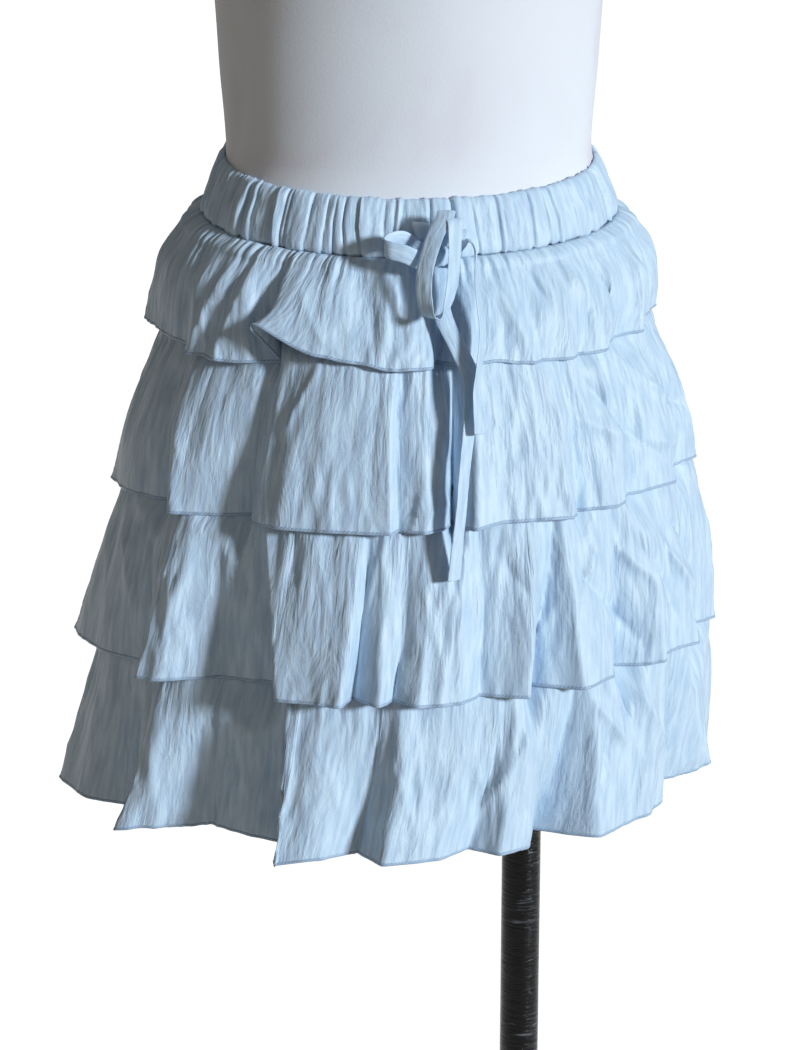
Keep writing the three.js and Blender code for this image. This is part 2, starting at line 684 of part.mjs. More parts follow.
const group = new THREE.Group()
group.name = 'tiered_skort_on_form'
group.add(dressForm, garment)

export default group
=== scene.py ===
# A gathered, four-tier skort with a drawstring, worn by a limbless dress form on a stand.
import math
import bpy
import numpy as np
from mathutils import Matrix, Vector, noise
from mathutils.bvhtree import BVHTree


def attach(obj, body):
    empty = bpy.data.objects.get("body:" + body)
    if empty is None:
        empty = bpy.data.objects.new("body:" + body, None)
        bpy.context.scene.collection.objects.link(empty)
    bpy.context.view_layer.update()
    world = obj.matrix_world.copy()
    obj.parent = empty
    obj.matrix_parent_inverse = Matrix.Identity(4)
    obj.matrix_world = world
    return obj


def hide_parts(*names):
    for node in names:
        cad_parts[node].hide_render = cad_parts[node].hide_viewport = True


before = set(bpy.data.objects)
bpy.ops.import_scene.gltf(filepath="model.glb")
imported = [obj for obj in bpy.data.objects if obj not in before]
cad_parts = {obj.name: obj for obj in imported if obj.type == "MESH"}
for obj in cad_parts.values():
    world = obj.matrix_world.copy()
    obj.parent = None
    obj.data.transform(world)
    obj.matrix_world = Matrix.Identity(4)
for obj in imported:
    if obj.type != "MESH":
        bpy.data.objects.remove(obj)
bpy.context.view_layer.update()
mm = 0.001

# the camera: a little above the skirt and to the wearer's right
view = {"place": (-384.0, -1758.6, 1306.1), "target": (-9.8, 2.1, 790.0), "lens": 100.1, "sensor": 36.0}


def makeCamera():
    data = bpy.data.cameras.new("camera")
    data.sensor_fit = "VERTICAL"
    data.sensor_height = view["sensor"]
    data.lens = view["lens"]
    camera = bpy.data.objects.new("camera", data)
    bpy.context.scene.collection.objects.link(camera)
    place = Vector(view["place"]) * mm
    camera.location = place
    camera.rotation_euler = (Vector(view["target"]) * mm - place).to_track_quat("-Z", "Y").to_euler()
    bpy.context.scene.camera = camera


makeCamera()


# curves and tables: lengths are in millimetres and turns in degrees
def curveThrough(keys, values, place):
    # smooth value of a table's column, by cubic Hermite pieces
    keys, values = np.asarray(keys, float), np.asarray(values, float)
    if keys[0] > keys[-1]:
        keys, values = keys[::-1], values[::-1]
    last = len(keys) - 1
    before = np.maximum(np.arange(last + 1) - 1, 0)
    after = np.minimum(np.arange(last + 1) + 1, last)
    slope = (values[after] - values[before]) / (keys[after] - keys[before])
    place = np.clip(np.asarray(place, float), keys[0], keys[-1])
    i = np.clip(np.searchsorted(keys, place, "right") - 1, 0, last - 1)
    span = keys[i + 1] - keys[i]
    s = (place - keys[i]) / span
    keepFrom = (1 + 2 * s) * (1 - s) ** 2
    bend = slope[i] * span * s * (1 - s) ** 2 - slope[i + 1] * span * s * s * (1 - s)
    return keepFrom * values[i] + s * s * (3 - 2 * s) * values[i + 1] + bend


def foldValue(rows, column, angle):
    # eases from one row to the next, all the way round
    at = np.array([row[0] for row in rows])
    value = np.array([row[column] for row in rows])
    turn = at[0] + np.mod(angle - at[0], 360)
    i = np.searchsorted(at, turn, "right") - 1
    end = np.append(at[1:], at[0] + 360)[i]
    s = (turn - at[i]) / (end - at[i])
    return value[i] + (0.5 - 0.5 * np.cos(np.pi * s)) * (np.append(value[1:], value[0])[i] - value[i])


def mix(a, b, s):
    return a + (b - a) * s


def swirl(across, along, seed, u, v, around):
    # noise on the cloth, stretched down it, which meets itself round a ring of that length
    radius = around / (2 * math.pi)
    value = np.empty(u.shape)
    x = radius * np.cos(u / radius) / across
    y = radius * np.sin(u / radius) / across
    z = v / along + seed
    for k in np.ndindex(u.shape):
        value[k] = noise.noise((x[k], y[k], z[k]))
    return value


# meshes
def deselect():
    bpy.ops.object.select_all(action="DESELECT")


def activate(piece):
    deselect()
    piece.select_set(True)
    bpy.context.view_layer.objects.active = piece


def newPiece(name, points, faces, uvs=None):
    mesh = bpy.data.meshes.new(name)
    mesh.from_pydata((np.asarray(points) * mm).tolist(), [], faces)
    if uvs is not None:
        layer = mesh.uv_layers.new(name="cloth")
        layer.data.foreach_set("uv", np.asarray(uvs, np.float32).ravel())
    mesh.polygons.foreach_set("use_smooth", [True] * len(mesh.polygons))
    mesh.update()
    piece = bpy.data.objects.new(name, mesh)
    bpy.context.scene.collection.objects.link(piece)
    return piece


def applyModifier(piece, kind, **settings):
    activate(piece)
    modifier = piece.modifiers.new(kind, kind)
    for key, value in settings.items():
        setattr(modifier, key, value)
    bpy.ops.object.modifier_apply(modifier=modifier.name)


def gridFaces(rows, columns, ring):
    # rows go down and columns go round towards +X on the front, so faces look outwards
    width = columns if ring else columns - 1
    r, c = np.meshgrid(np.arange(rows - 1), np.arange(width), indexing="ij")
    r, c = r.ravel(), c.ravel()
    n = (c + 1) % columns
    return np.stack([r * columns + c, (r + 1) * columns + c, (r + 1) * columns + n, r * columns + n], 1)


def ringFaces(rows, columns):
    # faces of a solid ring: its loops go round, and the last one meets the first
    first, last = np.arange(columns), (rows - 1) * columns + np.arange(columns)
    shut = np.stack([last, first, np.roll(first, -1), np.roll(last, -1)], 1)
    return gridFaces(rows, columns, True).tolist() + shut.tolist()


def gridUvs(u, v, ring, around):
    # u and v are grids in millimetres; the last column of a ring runs on to its full length
    if ring:
        u = np.concatenate([u, u[:, :1] + around], 1)
        v = np.concatenate([v, v[:, :1]], 1)
    corner = np.stack([u, v], 2) * mm
    a, b = corner[:-1, :-1], corner[1:, :-1]
    c, d = corner[1:, 1:], corner[:-1, 1:]
    return np.stack([a, b, c, d], 2).reshape(-1, 2)


def clothPiece(name, points, u, v, wall, ring=True, around=0.0):
    # a thin wall of cloth on both sides of a grid of points
    rows, columns = points.shape[:2]
    faces = gridFaces(rows, columns, ring).tolist()
    piece = newPiece(name, points.reshape(-1, 3), faces, gridUvs(u, v, ring, around))
    applyModifier(piece, "SOLIDIFY", thickness=wall * mm, offset=0.0)
    return piece


def gridNormals(points):
    # outward normals of a ring's grid of points
    across = np.roll(points, -1, 1) - np.roll(points, 1, 1)
    normal = np.cross(np.gradient(points, axis=0), across)
    return normal / np.maximum(np.linalg.norm(normal, axis=2, keepdims=True), 1e-9)


def finish(piece, material, slot, *nodes):
    piece.data.materials.clear()
    piece.data.materials.append(material)
    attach(piece, "root")
    if nodes:
        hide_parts(*nodes)
    return piece


# materials
def linear(code):
    # sRGB hex to linear RGBA
    parts = [int(code[i:i + 2], 16) / 255 for i in (1, 3, 5)]
    return tuple(c / 12.92 if c <= 0.04045 else ((c + 0.055) / 1.055) ** 2.4 for c in parts) + (1.0,)


def addNode(material, kind, values=None, **settings):
    # a node with its settings, and its sockets set or linked
    node = material.node_tree.nodes.new("ShaderNode" + kind)
    for key, value in settings.items():
        setattr(node, key, value)
    for key, value in (values or {}).items():
        socket = node.inputs[key]
        if isinstance(value, bpy.types.NodeSocket):
            material.node_tree.links.new(value, socket)
        else:
            socket.default_value = value
    return node


def newMaterial(name, **shader):
    material = bpy.data.materials.new(name)
    material.use_nodes = True
    nodes = material.node_tree.nodes
    nodes.clear()
    values = {key.replace("_", " "): value for key, value in shader.items()}
    principled = addNode(material, "BsdfPrincipled", values)
    output = nodes.new("ShaderNodeOutputMaterial")
    material.node_tree.links.new(principled.outputs[0], output.inputs[0])
    return material, principled


def stretched(material, source, size):
    # coordinates divided by a pattern's size in millimetres
    scale = tuple(1 / (s * mm) for s in size)
    return addNode(material, "Mapping", {"Vector": source, "Scale": scale}).outputs[0]


def rampBetween(material, factor, stops):
    ramp = addNode(material, "ValToRGB", {"Fac": factor})
    elements = ramp.color_ramp.elements
    while len(elements) < len(stops):
        elements.new(0.5)
    for element, (place, code) in zip(elements, stops):
        element.position = place
        element.color = linear(code)
    return ramp.outputs[0]


def bumped(material, height, distance, strength, normal=None):
    values = {"Height": height, "Distance": distance * mm, "Strength": strength}
    if normal is not None:
        values["Normal"] = normal
    return addNode(material, "Bump", values).outputs[0]


def linkTo(material, socket, target):
    material.node_tree.links.new(socket, target)


def surfaced(material, shader, colour, normal):
    linkTo(material, colour, shader.inputs["Base Color"])
    linkTo(material, normal, shader.inputs["Normal"])
    return material


def noiseOn(material, source, size, detail, roughness=0.5, distortion=0.0):
    # noise whose patches have that size in millimetres
    return addNode(material, "TexNoise", {
        "Vector": stretched(material, source, size), "Scale": 1.0, "Detail": detail,
        "Roughness": roughness, "Distortion": distortion}).outputs["Fac"]


def bandsOn(material, source, apart, direction, distortion):
    # even bands that lie so many millimetres apart; at scale 1 Blender draws them 0.314 m apart
    return addNode(material, "TexWave", {
        "Vector": source, "Scale": 0.314 / (apart * mm), "Distortion": distortion},
        wave_type="BANDS", bands_direction=direction).outputs["Fac"]


def joined(material, operation, first, second):
    return addNode(material, "Math", {0: first, 1: second}, operation=operation).outputs[0]


def rangeOf(material, value, fromMin, fromMax, toMin, toMax):
    return addNode(material, "MapRange", {
        "Value": value, "From Min": fromMin, "From Max": fromMax,
        "To Min": toMin, "To Max": toMax}).outputs[0]


# in each look, patterns have a size in millimetres, colours a place on the pattern's range,
# and bumps a height in millimetres and a strength
crushedCotton = {
    "streak": (4.2, 26, 1), "fine": (2, 9, 1), "rumple": (15, 44, 1), "patch": (45, 60, 1),
    "patchRange": (0.38, 0.62, 0.12, 1.0),
    # the real threads are 0.3 mm apart, drawn three times as coarse so that they show
    "thread": 0.9, "threadSway": 0.6,
    "rumpleBump": (3.2, 0.7), "streakBump": (1.5, 0.8), "fineBump": (0.12, 0.4), "weaveBump": (0.08, 0.3),
    # the colours follow the crease streaks, lighter on their ridges and darker in their folds: partly painted
    # light and shade, partly the cloth's own uneven tone
    "colours": [(0.36, "#b0c7dd"), (0.5, "#bbd1e5"), (0.64, "#c5dbed")],
}


def makeCottonMaterial(look):
    # crushed cotton lawn: the eye sees dull, fine upright creases with a faint silky bloom
    material, shader = newMaterial("crushed_cotton_lawn", Roughness=0.5, Sheen_Weight=0.25,
                                   Sheen_Roughness=0.4, Specular_IOR_Level=0.4)
    uv = addNode(material, "UVMap", uv_map="cloth").outputs[0]
    streak = noiseOn(material, uv, look["streak"], 2.0, 0.5, 0.25)
    fine = noiseOn(material, uv, look["fine"], 2.0)
    rumple = noiseOn(material, uv, look["rumple"], 4.0, 0.6, 0.4)
    warp, weft = [bandsOn(material, uv, look["thread"], direction, look["threadSway"]) for direction in "XY"]
    weave = joined(material, "ADD", warp, weft)
    # the creases come in patches, with smooth cloth between them
    patch = rangeOf(material, noiseOn(material, uv, look["patch"], 2.0, 0.5, 0.8), *look["patchRange"])
    streaks = joined(material, "MULTIPLY", streak, patch)
    normal = bumped(material, rumple, *look["rumpleBump"])
    normal = bumped(material, streaks, *look["streakBump"], normal)
    normal = bumped(material, fine, *look["fineBump"], normal)
    normal = bumped(material, weave, *look["weaveBump"], normal)
    # base colour: painted light and shade along the crease streaks, over the cloth's own uneven tone
    return surfaced(material, shader, rampBetween(material, streak, look["colours"]), normal)


cottonMaterial = makeCottonMaterial(crushedCotton)
overlockThread = {
    "stitch": 1.2, "slant": 2.0, "fluff": (5, 5, 1), "bump": (0.25, 0.5),
    "colours": [(0.0, "#8ba2bb"), (0.5, "#aabfd4")],
}


def makeThreadMaterial(look):
    # overlocked polyester thread: a darker blue cord of close, slanting stitches
    material, shader = newMaterial("overlock_thread", Roughness=0.5, Sheen_Weight=0.2, Sheen_Roughness=0.4)
    uv = addNode(material, "UVMap", uv_map="cloth").outputs[0]
    stitch = bandsOn(material, uv, look["stitch"], "DIAGONAL", look["slant"])
    blend = joined(material, "MULTIPLY", stitch, noiseOn(material, uv, look["fluff"], 3.0))
    return surfaced(material, shader, rampBetween(material, blend, look["colours"]),
                    bumped(material, stitch, *look["bump"]))


threadMaterial = makeThreadMaterial(overlockThread)
jerseyCover = {
    "blotch": (90, 90, 140), "grain": (1.6, 1.6, 1.6), "bump": (0.25, 0.35),
    "colours": [(0.32, "#d9d3dc"), (0.46, "#dee1e7"), (0.62, "#e1e5ec"), (0.75, "#d9dae5")],
}


def makeCoverMaterial(look):
    # cotton jersey stretched over foam: matt and pale, with old faint marks
    material, shader = newMaterial("cotton_jersey_cover", Roughness=0.78, Sheen_Weight=0.15,
                                   Sheen_Roughness=0.5)
    place = addNode(material, "TexCoord").outputs["Object"]
    blotch = noiseOn(material, place, look["blotch"], 3.0, 0.5, 0.5)
    grain = noiseOn(material, place, look["grain"], 2.0)
    return surfaced(material, shader, rampBetween(material, blotch, look["colours"]),
                    bumped(material, grain, *look["bump"]))


coverMaterial = makeCoverMaterial(jerseyCover)
stoveEnamel = {
    "rings": (26, 26, 2.2), "patches": (30, 30, 60), "bump": (1.1, 0.8), "rough": (0.2, 0.45, 0.1, 0.4),
    # colours: near black enamel, lightening to a painted grey glint on the scuff rings
    "colours": [(0.28, "#020203"), (0.33, "#0b0b0c"), (0.4, "#68686a")],
}


def makeBlackMaterial(look):
    # black stove enamel on steel tube: deep gloss with fine rings of scuffs; their pale grey colour is a
    # painted glint
    material, shader = newMaterial("black_stove_enamel", Specular_IOR_Level=0.2)
    place = addNode(material, "TexCoord").outputs["Object"]
    rings = noiseOn(material, place, look["rings"], 4.0, 0.65, 0.6)
    scuffAndGlint = joined(material, "MULTIPLY", rings, noiseOn(material, place, look["patches"], 2.0))
    linkTo(material, rangeOf(material, scuffAndGlint, *look["rough"]), shader.inputs["Roughness"])
    # the ramp's pale grey on the scuff rings is a painted glint; the real scuffs are in the roughness and the
    # bump
    return surfaced(material, shader, rampBetween(material, scuffAndGlint, look["colours"]),
                    bumped(material, rings, *look["bump"]))


blackMaterial = makeBlackMaterial(stoveEnamel)
brushedSteel = {
    "rings": 0.35, "sway": 0.5, "bump": (0.05, 0.3), "colours": [(0.0, "#9c9ea2"), (1.0, "#b9bbbf")],
}


def makeSteelMaterial(look):
    # brushed stainless steel disc: fine turning marks round its centre
    material, shader = newMaterial("brushed_stainless_steel", Metallic=1.0, Roughness=0.34)
    flat = stretched(material, addNode(material, "TexCoord").outputs["Object"], (1, 1, 1000))
    turned = addNode(material, "TexWave", {
        "Vector": flat, "Scale": look["rings"], "Distortion": look["sway"]},
        wave_type="RINGS", rings_direction="Z").outputs["Fac"]
    return surfaced(material, shader, rampBetween(material, turned, look["colours"]),
                    bumped(material, turned, *look["bump"]))


steelMaterial = makeSteelMaterial(brushedSteel)
print("materials made")

# the drawstring: flat self-fabric strips on the solids' own routes
level, upright = (1, 0, 0), (0, 0, 1)
tie = {"width": 10.6, "thick": 1.5, "step": 1.2, "sides": 20, "rumple": 0.22, "pull": 0.05, "flatEdge": 0.25}
# each row is a point, then the direction of the strip's width there
tieRoutes = {
    "tie_end_left": [
        (-14, -94.8, 1003, level), (-14.4, -98.4, 1001, level), (-13.6, -100.9, 996.6, level),
        (-12, -101.2, 991.2, level)],
    "tie_end_right": [
        (8.7, -95.1, 998, level), (8.6, -98, 997, level), (7, -99.9, 994, level),
        (4.6, -100.2, 991.2, level)],
    "tie_loop_small": [
        (-13.8, -103.6, 986.6, upright), (-20, -103.8, 989.6, upright), (-27, -104.6, 995, upright),
        (-35, -107, 994.4, upright), (-38.6, -110.6, 992, upright), (-36, -114, 990.6, upright),
        (-28.4, -115.4, 988.6, upright), (-20, -114.6, 984.6, upright), (-12.4, -109.6, 981.5, upright)],
    "tie_loop_large": [
        (-5, -104.4, 991.2, level), (-4.4, -103.6, 998, level), (-2, -104.2, 1007, level),
        (-1.2, -107.4, 1011.6, (0.98, -0.2, 0)), (-3.4, -111.6, 1008.4, (0.95, -0.3, 0)),
        (-9.6, -116, 1000, (0.9, -0.42, 0)), (-14, -120, 990.6, (0.85, -0.52, 0)),
        (-18, -124.4, 980, (0.8, -0.6, 0)), (-19.6, -129, 967.7, (0.75, -0.65, 0)),
        (-18, -132.4, 957.6, (0.6, -0.8, 0)), (-12.6, -134, 953.4, (0.05, -1, 0)),
        (-7, -132.6, 959.6, (-0.6, -0.8, 0)), (-2.6, -128.4, 972, (-0.75, -0.65, 0)),
        (0, -123, 986, (-0.8, -0.6, 0)), (1.6, -117.6, 999, (-0.85, -0.5, 0)),
        (2.4, -113.4, 1006.4, (-0.95, -0.3, 0)), (1.2, -110.4, 1006.6, (-1, -0.1, 0)),
        (-1.6, -109, 999.6, (-1, 0, 0)), (-4, -108.4, 991.2, (-1, 0, 0))],
    "tie_tail_short": [
        (2.5, -107, 985.8, (0, -1, 0)), (5.4, -107.5, 986.6, (0, -1, 0)), (8.6, -108.4, 990.6, (0, -1, 0)),
        (12, -109.6, 993.8, (-0.05, -1, 0)), (15, -111.4, 989.6, (-0.15, -0.98, 0)),
        (15, -115, 980.4, (-0.3, -0.95, 0)), (13.8, -122.4, 969.6, (-0.4, -0.92, 0)),
        (13.9, -128, 959, (-0.45, -0.9, 0)), (14, -135.4, 945, (-0.5, -0.86, 0)),
        (10.8, -142.8, 928, (-0.5, -0.86, 0)), (8.2, -147.2, 912.4, (-0.6, -0.8, 0)),
        (8.4, -151, 900, (-0.7, -0.7, 0)), (8.6, -154, 887.4, (-0.78, -0.62, 0))],
    "tie_tail_long": [
        (-5, -106.4, 977.8, level), (-5.6, -112.4, 968, level), (-6.8, -119.4, 957.6, level),
        (-5.4, -124.4, 948.6, level), (-1.2, -129.4, 938.6, level), (2.8, -134.4, 929, level),
        (6, -138, 921, (0.98, 0.2, 0)), (6.6, -141, 912, (0.93, 0.37, 0)),
        (5.4, -144.6, 901, (0.86, 0.51, 0)), (2.6, -150, 886, (0.8, 0.6, 0)),
        (-1.3, -157, 866, (0.76, 0.65, 0)), (-3.9, -161.4, 846, (0.76, 0.65, 0)),
        (-6.4, -163, 825, (0.8, 0.6, 0)), (-8.6, -163, 802, (0.86, 0.51, 0))],
}


def routeThrough(points, step):
    # a smooth route through points, and its direction, at even steps
    points = np.asarray(points, float)
    ends = np.concatenate([[2 * points[0] - points[1]], points, [2 * points[-1] - points[-2]]])
    place = np.linspace(0, len(points) - 1, 40 * len(points))
    i = np.minimum(place.astype(int), len(points) - 2)
    s = (place - i)[:, None]
    p0, p1, p2, p3 = (ends[i + k] for k in range(4))
    t1, t2 = 0.5 * (p2 - p0), 0.5 * (p3 - p1)
    line = (2 * p1 - 2 * p2 + t1 + t2) * s ** 3 + (-3 * p1 + 3 * p2 - 2 * t1 - t2) * s ** 2 + t1 * s + p1
    run = np.concatenate([[0], np.cumsum(np.linalg.norm(np.diff(line[:, :3], axis=0), axis=1))])
    even = np.linspace(0, run[-1], max(8, int(run[-1] / step)) + 1)
    return np.stack([np.interp(even, run, line[:, k]) for k in range(line.shape[1])], 1), even


def loftPiece(name, loops, uvs=None):
    # a closed solid through loops of points, with its ends filled
    rows, sides = loops.shape[:2]
    c, r = np.meshgrid(np.arange(sides), np.arange(rows - 1))
    c, r = c.ravel(), r.ravel()
    n = (c + 1) % sides
    faces = np.stack([r * sides + c, r * sides + n, (r + 1) * sides + n, (r + 1) * sides + c], 1).tolist()
    top = (rows - 1) * sides
    faces += [list(range(sides))[::-1], [top + k for k in range(sides)]]
    if uvs is not None:
        grid = np.concatenate([uvs, uvs[:, :1]], 1)
        a, b = grid[:-1, :-1], grid[:-1, 1:]
        d, e = grid[1:, 1:], grid[1:, :-1]
        uvs = np.concatenate([np.stack([a, b, d, e], 2).reshape(-1, 2), uvs[0][::-1], uvs[-1]])
    return newPiece(name, loops.reshape(-1, 3), faces, uvs)


def squash(value, power):
    # squares a circle's sine or cosine, the more so the smaller the power
    return np.sign(value) * np.abs(value) ** power


def unitRows(vectors):
    return vectors / np.linalg.norm(vectors, axis=1, keepdims=True)


def makeTie(name):
    line, run = routeThrough([row[:3] + tuple(row[3]) for row in tieRoutes[name]], tie["step"])
    middle = line[:, :3]
    tangent = unitRows(np.gradient(middle, axis=0))
    across = unitRows(line[:, 3:] - np.sum(line[:, 3:] * tangent, 1, keepdims=True) * tangent)
    face = np.cross(tangent, across)
    turn = np.linspace(0, 2 * np.pi, tie["sides"], endpoint=False)
    a = squash(np.cos(turn), 0.45) * tie["width"] / 2
    b = squash(np.sin(turn), 0.8) * tie["thick"] / 2
    # the stitched long edge is flatter than the folded one
    b = b * (1 - tie["flatEdge"] * (a > 0.7 * a.max()))
    stray = np.array([[noise.noise((r / 5, s / 3, len(name))) for s in a] for r in run])
    pull = np.array([1 + tie["pull"] * noise.noise((r / 14, 0, len(name))) for r in run])
    loops = (middle[:, None] + across[:, None] * (a * pull[:, None])[..., None]
             + face[:, None] * (b + tie["rumple"] * stray)[..., None])
    uvs = np.stack(np.broadcast_arrays(a[None, :], run[:, None]), 2) * mm
    piece = loftPiece(name.replace("tie_", "drawstring_"), loops, uvs)
    applyModifier(piece, "SUBSURF", levels=1, render_levels=1)
    return piece, middle * mm


# the knot: one turn of the strip pulled tight round the others
knot = {
    "at": (-5, -104.2, 984.5), "half": (6.0, 6.2, 6.0), "rows": 30, "columns": 56, "rumple": 0.35,
    "pinch": 0.09, "pinchAt": 0.62, "pinchWide": 0.13,
}


def makeKnot():
    at, half = np.array(knot["at"]), np.array(knot["half"])
    up = np.linspace(-np.pi / 2, np.pi / 2, knot["rows"])[1:-1]
    lift, turn = np.meshgrid(up, np.linspace(0, 2 * np.pi, knot["columns"], endpoint=False), indexing="ij")
    x = squash(np.cos(lift), 0.55) * squash(np.sin(turn), 0.7)
    y = -squash(np.cos(lift), 0.55) * squash(np.cos(turn), 0.7)
    z = squash(np.sin(lift), 0.75)
    # the turn's two edges show as shallow dents beside its middle
    edges = np.exp(-((np.abs(x) - knot["pinchAt"]) / knot["pinchWide"]) ** 2) * (np.abs(y) > 0.2)
    points = at + half * np.stack([x, y, z], 2) * (1 - knot["pinch"] * edges)[..., None]
    stray = np.array([[noise.noise((p[0] / 1.8, p[1] / 3, p[2] / 5)) for p in row] for row in points])
    points += knot["rumple"] * stray[..., None] * (points - at) / half.mean()
    piece = loftPiece("drawstring_knot", points, points[..., [0, 2]] * mm)
    applyModifier(piece, "SUBSURF", levels=1, render_levels=1)
    return finish(piece, cottonMaterial, "powder_blue_cloth", "tie_knot")


tiePieces = {name: makeTie(name) for name in tieRoutes}
for name, (piece, path) in tiePieces.items():
    finish(piece, cottonMaterial, "powder_blue_cloth", name)
    length = np.sum(np.linalg.norm(np.diff(path, axis=0), axis=1))
    print(name, "is", round(float(length), 4), "m long")
knotPiece = makeKnot()
# what each long strip is, from its route: length in metres, its far end and what goes with it
cords = {
    "tie_loop_large": (0.175, "object", [knotPiece] + [
        tiePieces[part][0] for part in ("tie_end_left", "tie_end_right", "tie_loop_small")]),
    "tie_tail_short": (0.131, "bare", []),
    "tie_tail_long": (0.193, "bare", []),
}
for name, (length, end, others) in cords.items():
    piece, path = tiePieces[name]
print("drawstring made")

# the dress form
# each row is a level of the form: z, half its width, its depth to the front and to the back
formRings = [
    (798, 138, 92, 96), (803, 146, 101, 105), (815, 149, 106, 110), (850, 150, 108.5, 113),
    (885, 144, 105.5, 111), (920, 136, 100, 105), (945, 131.5, 96, 100), (965, 129, 93.3, 96.5),
    (985, 126.8, 90.3, 93), (1000, 123.5, 87, 90), (1015, 118.5, 83.3, 87), (1031, 114.3, 82, 84.5),
    (1050, 114.6, 83.5, 83.5), (1080, 117, 87.5, 85), (1140, 121, 97, 89), (1190, 130, 110, 93),
    (1235, 139, 121, 96), (1285, 146, 110, 98), (1335, 156, 92, 97), (1380, 166, 75, 88),
    (1410, 163, 66, 80), (1432, 132, 60, 73), (1448, 92, 57, 67), (1462, 64, 55, 61), (1480, 54, 53, 56),
    (1505, 51, 51, 54)]
formColumns = list(zip(*formRings))


def formSection(z, angle):
    half, front, back = (curveThrough(formColumns[0], formColumns[k], z) for k in (1, 2, 3))
    return half, mix(back, front, (1 + np.cos(angle)) / 2)


def ringPoint(half, depth, angle, z):
    return np.stack(np.broadcast_arrays(half * np.sin(angle), -depth * np.cos(angle), z), -1).astype(float)


def makeTorso():
    # the solid's levels with closer ones between them
    z = np.unique(np.concatenate([formColumns[0], np.arange(800, 1505, 8)]))
    high, turn = np.meshgrid(z, np.linspace(0, 2 * np.pi, 120, endpoint=False), indexing="ij")
    half, depth = formSection(high, turn)
    piece = loftPiece("form_torso_cover", ringPoint(half, depth, turn, high))
    activate(piece)
    bpy.ops.object.shade_smooth_by_angle(angle=math.radians(40))
    return finish(piece, coverMaterial, "form_cover", "form_torso")


makeTorso()


def edit(piece):
    activate(piece)
    bpy.ops.object.mode_set(mode="EDIT")
    bpy.ops.mesh.select_mode(type="FACE")


def selectFaces(piece, wanted):
    # picks the faces that a rule on a face's middle and normal names, in edit mode
    bpy.ops.mesh.select_all(action="DESELECT")
    bpy.ops.object.mode_set(mode="OBJECT")
    for polygon in piece.data.polygons:
        polygon.select = bool(wanted(polygon.center, polygon.normal))
    bpy.ops.object.mode_set(mode="EDIT")


def isTop(middle, normal):
    return normal.z > 0.99


def stepTop(piece, rim, rise, inner):
    # a step in the round top, inside its rim; it sinks where rise is negative
    edit(piece)
    selectFaces(piece, isTop)
    bpy.ops.mesh.inset(thickness=rim * mm)
    bpy.ops.mesh.extrude_region_move(TRANSFORM_OT_translate={"value": (0, 0, rise * mm)})
    bpy.ops.mesh.inset(thickness=inner * mm)


def pressIn(depth):
    bpy.ops.mesh.extrude_region_shrink_fatten(TRANSFORM_OT_shrink_fatten={"value": -depth * mm})


def groove(piece, low, high, depth):
    # a groove round the wall between two heights
    edit(piece)
    for z in (low, high):
        bpy.ops.mesh.select_all(action="SELECT")
        bpy.ops.mesh.bisect(plane_co=(0, 0, z * mm), plane_no=(0, 0, 1))
    at, near = (low + high) / 2, (high - low) / 2 - 0.1
    selectFaces(piece, lambda middle, normal: abs(normal.z) < 0.1 and abs(middle.z / mm - at) < near)
    pressIn(depth)


def placed(piece):
    # moves the piece's place into its mesh, with smooth rounds and sharp edges
    bpy.ops.object.mode_set(mode="OBJECT")
    activate(piece)
    bpy.ops.object.transform_apply(location=True, rotation=True, scale=True)
    bpy.ops.object.shade_smooth_by_angle(angle=math.radians(35))
    return piece


def cylinderPiece(name, radius, low, high, x=0.0, bevel=1.0):
    # a turned solid with eased edges
    deselect()
    bpy.ops.mesh.primitive_cylinder_add(
        vertices=96, radius=radius * mm, depth=(high - low) * mm, end_fill_type="NGON",
        location=(x * mm, 0, (low + high) / 2 * mm))
    piece = bpy.context.object
    piece.name = name
    piece.data.name = name
    bpy.ops.object.transform_apply(location=True, rotation=True, scale=True)
    applyModifier(piece, "BEVEL", width=bevel * mm, segments=3, limit_method="ANGLE",
                  angle_limit=math.radians(50))
    return piece


neckCap = {"low": 1505.3, "height": 9, "radius": 55, "bevel": 3, "rim": 5, "dish": 1.6, "inner": 30}
base = {"radius": 150, "height": 6, "bevel": 1.4, "rim": 34, "rise": 1.5, "inner": 2}
pole = {"x": 77, "radius": 13, "low": 26.6, "high": 777.4, "bevel": 0.8, "joint": (402, 403), "groove": 0.5}
sleeve = {"bevel": 1.4, "groove": 1.2, "grooveAt": (-5, -3), "screwAt": 4}
collar = {"radius": 22, "low": 6.3, "high": 26.3}
socket = {"radius": 21, "low": 777.7, "high": 797.7}
screw = {"radius": 2.6, "long": 3, "out": 0.6, "rim": 1.1, "deep": 1.2}


def makeNeckCap():
    low, high = neckCap["low"], neckCap["low"] + neckCap["height"]
    piece = cylinderPiece("form_neck_disc", neckCap["radius"], low, high, bevel=neckCap["bevel"])
    stepTop(piece, neckCap["rim"], -neckCap["dish"], neckCap["inner"])
    return finish(placed(piece), steelMaterial, "neck_cap_metal", "form_neck_cap")


def makeBase():
    # a low step rings the collar, as on a pressed plate
    high = base["height"] - base["rise"]
    piece = cylinderPiece("stand_base_plate", base["radius"], 0, high, bevel=base["bevel"])
    stepTop(piece, base["rim"], base["rise"], base["inner"])
    return finish(placed(piece), blackMaterial, "black_stand", "stand_base")


def makeScrew(name, radius, z):
    # a grub screw that holds the pole, with a round socket in its end
    bpy.ops.mesh.primitive_cylinder_add(
        vertices=32, radius=screw["radius"] * mm, depth=screw["long"] * mm, rotation=(math.pi / 2, 0, 0),
        location=(pole["x"] * mm, -(radius + screw["out"]) * mm, z * mm))
    piece = bpy.context.object
    piece.name = name
    edit(piece)
    selectFaces(piece, isTop)
    bpy.ops.mesh.inset(thickness=screw["rim"] * mm)
    pressIn(screw["deep"])
    return finish(placed(piece), blackMaterial, "black_stand")


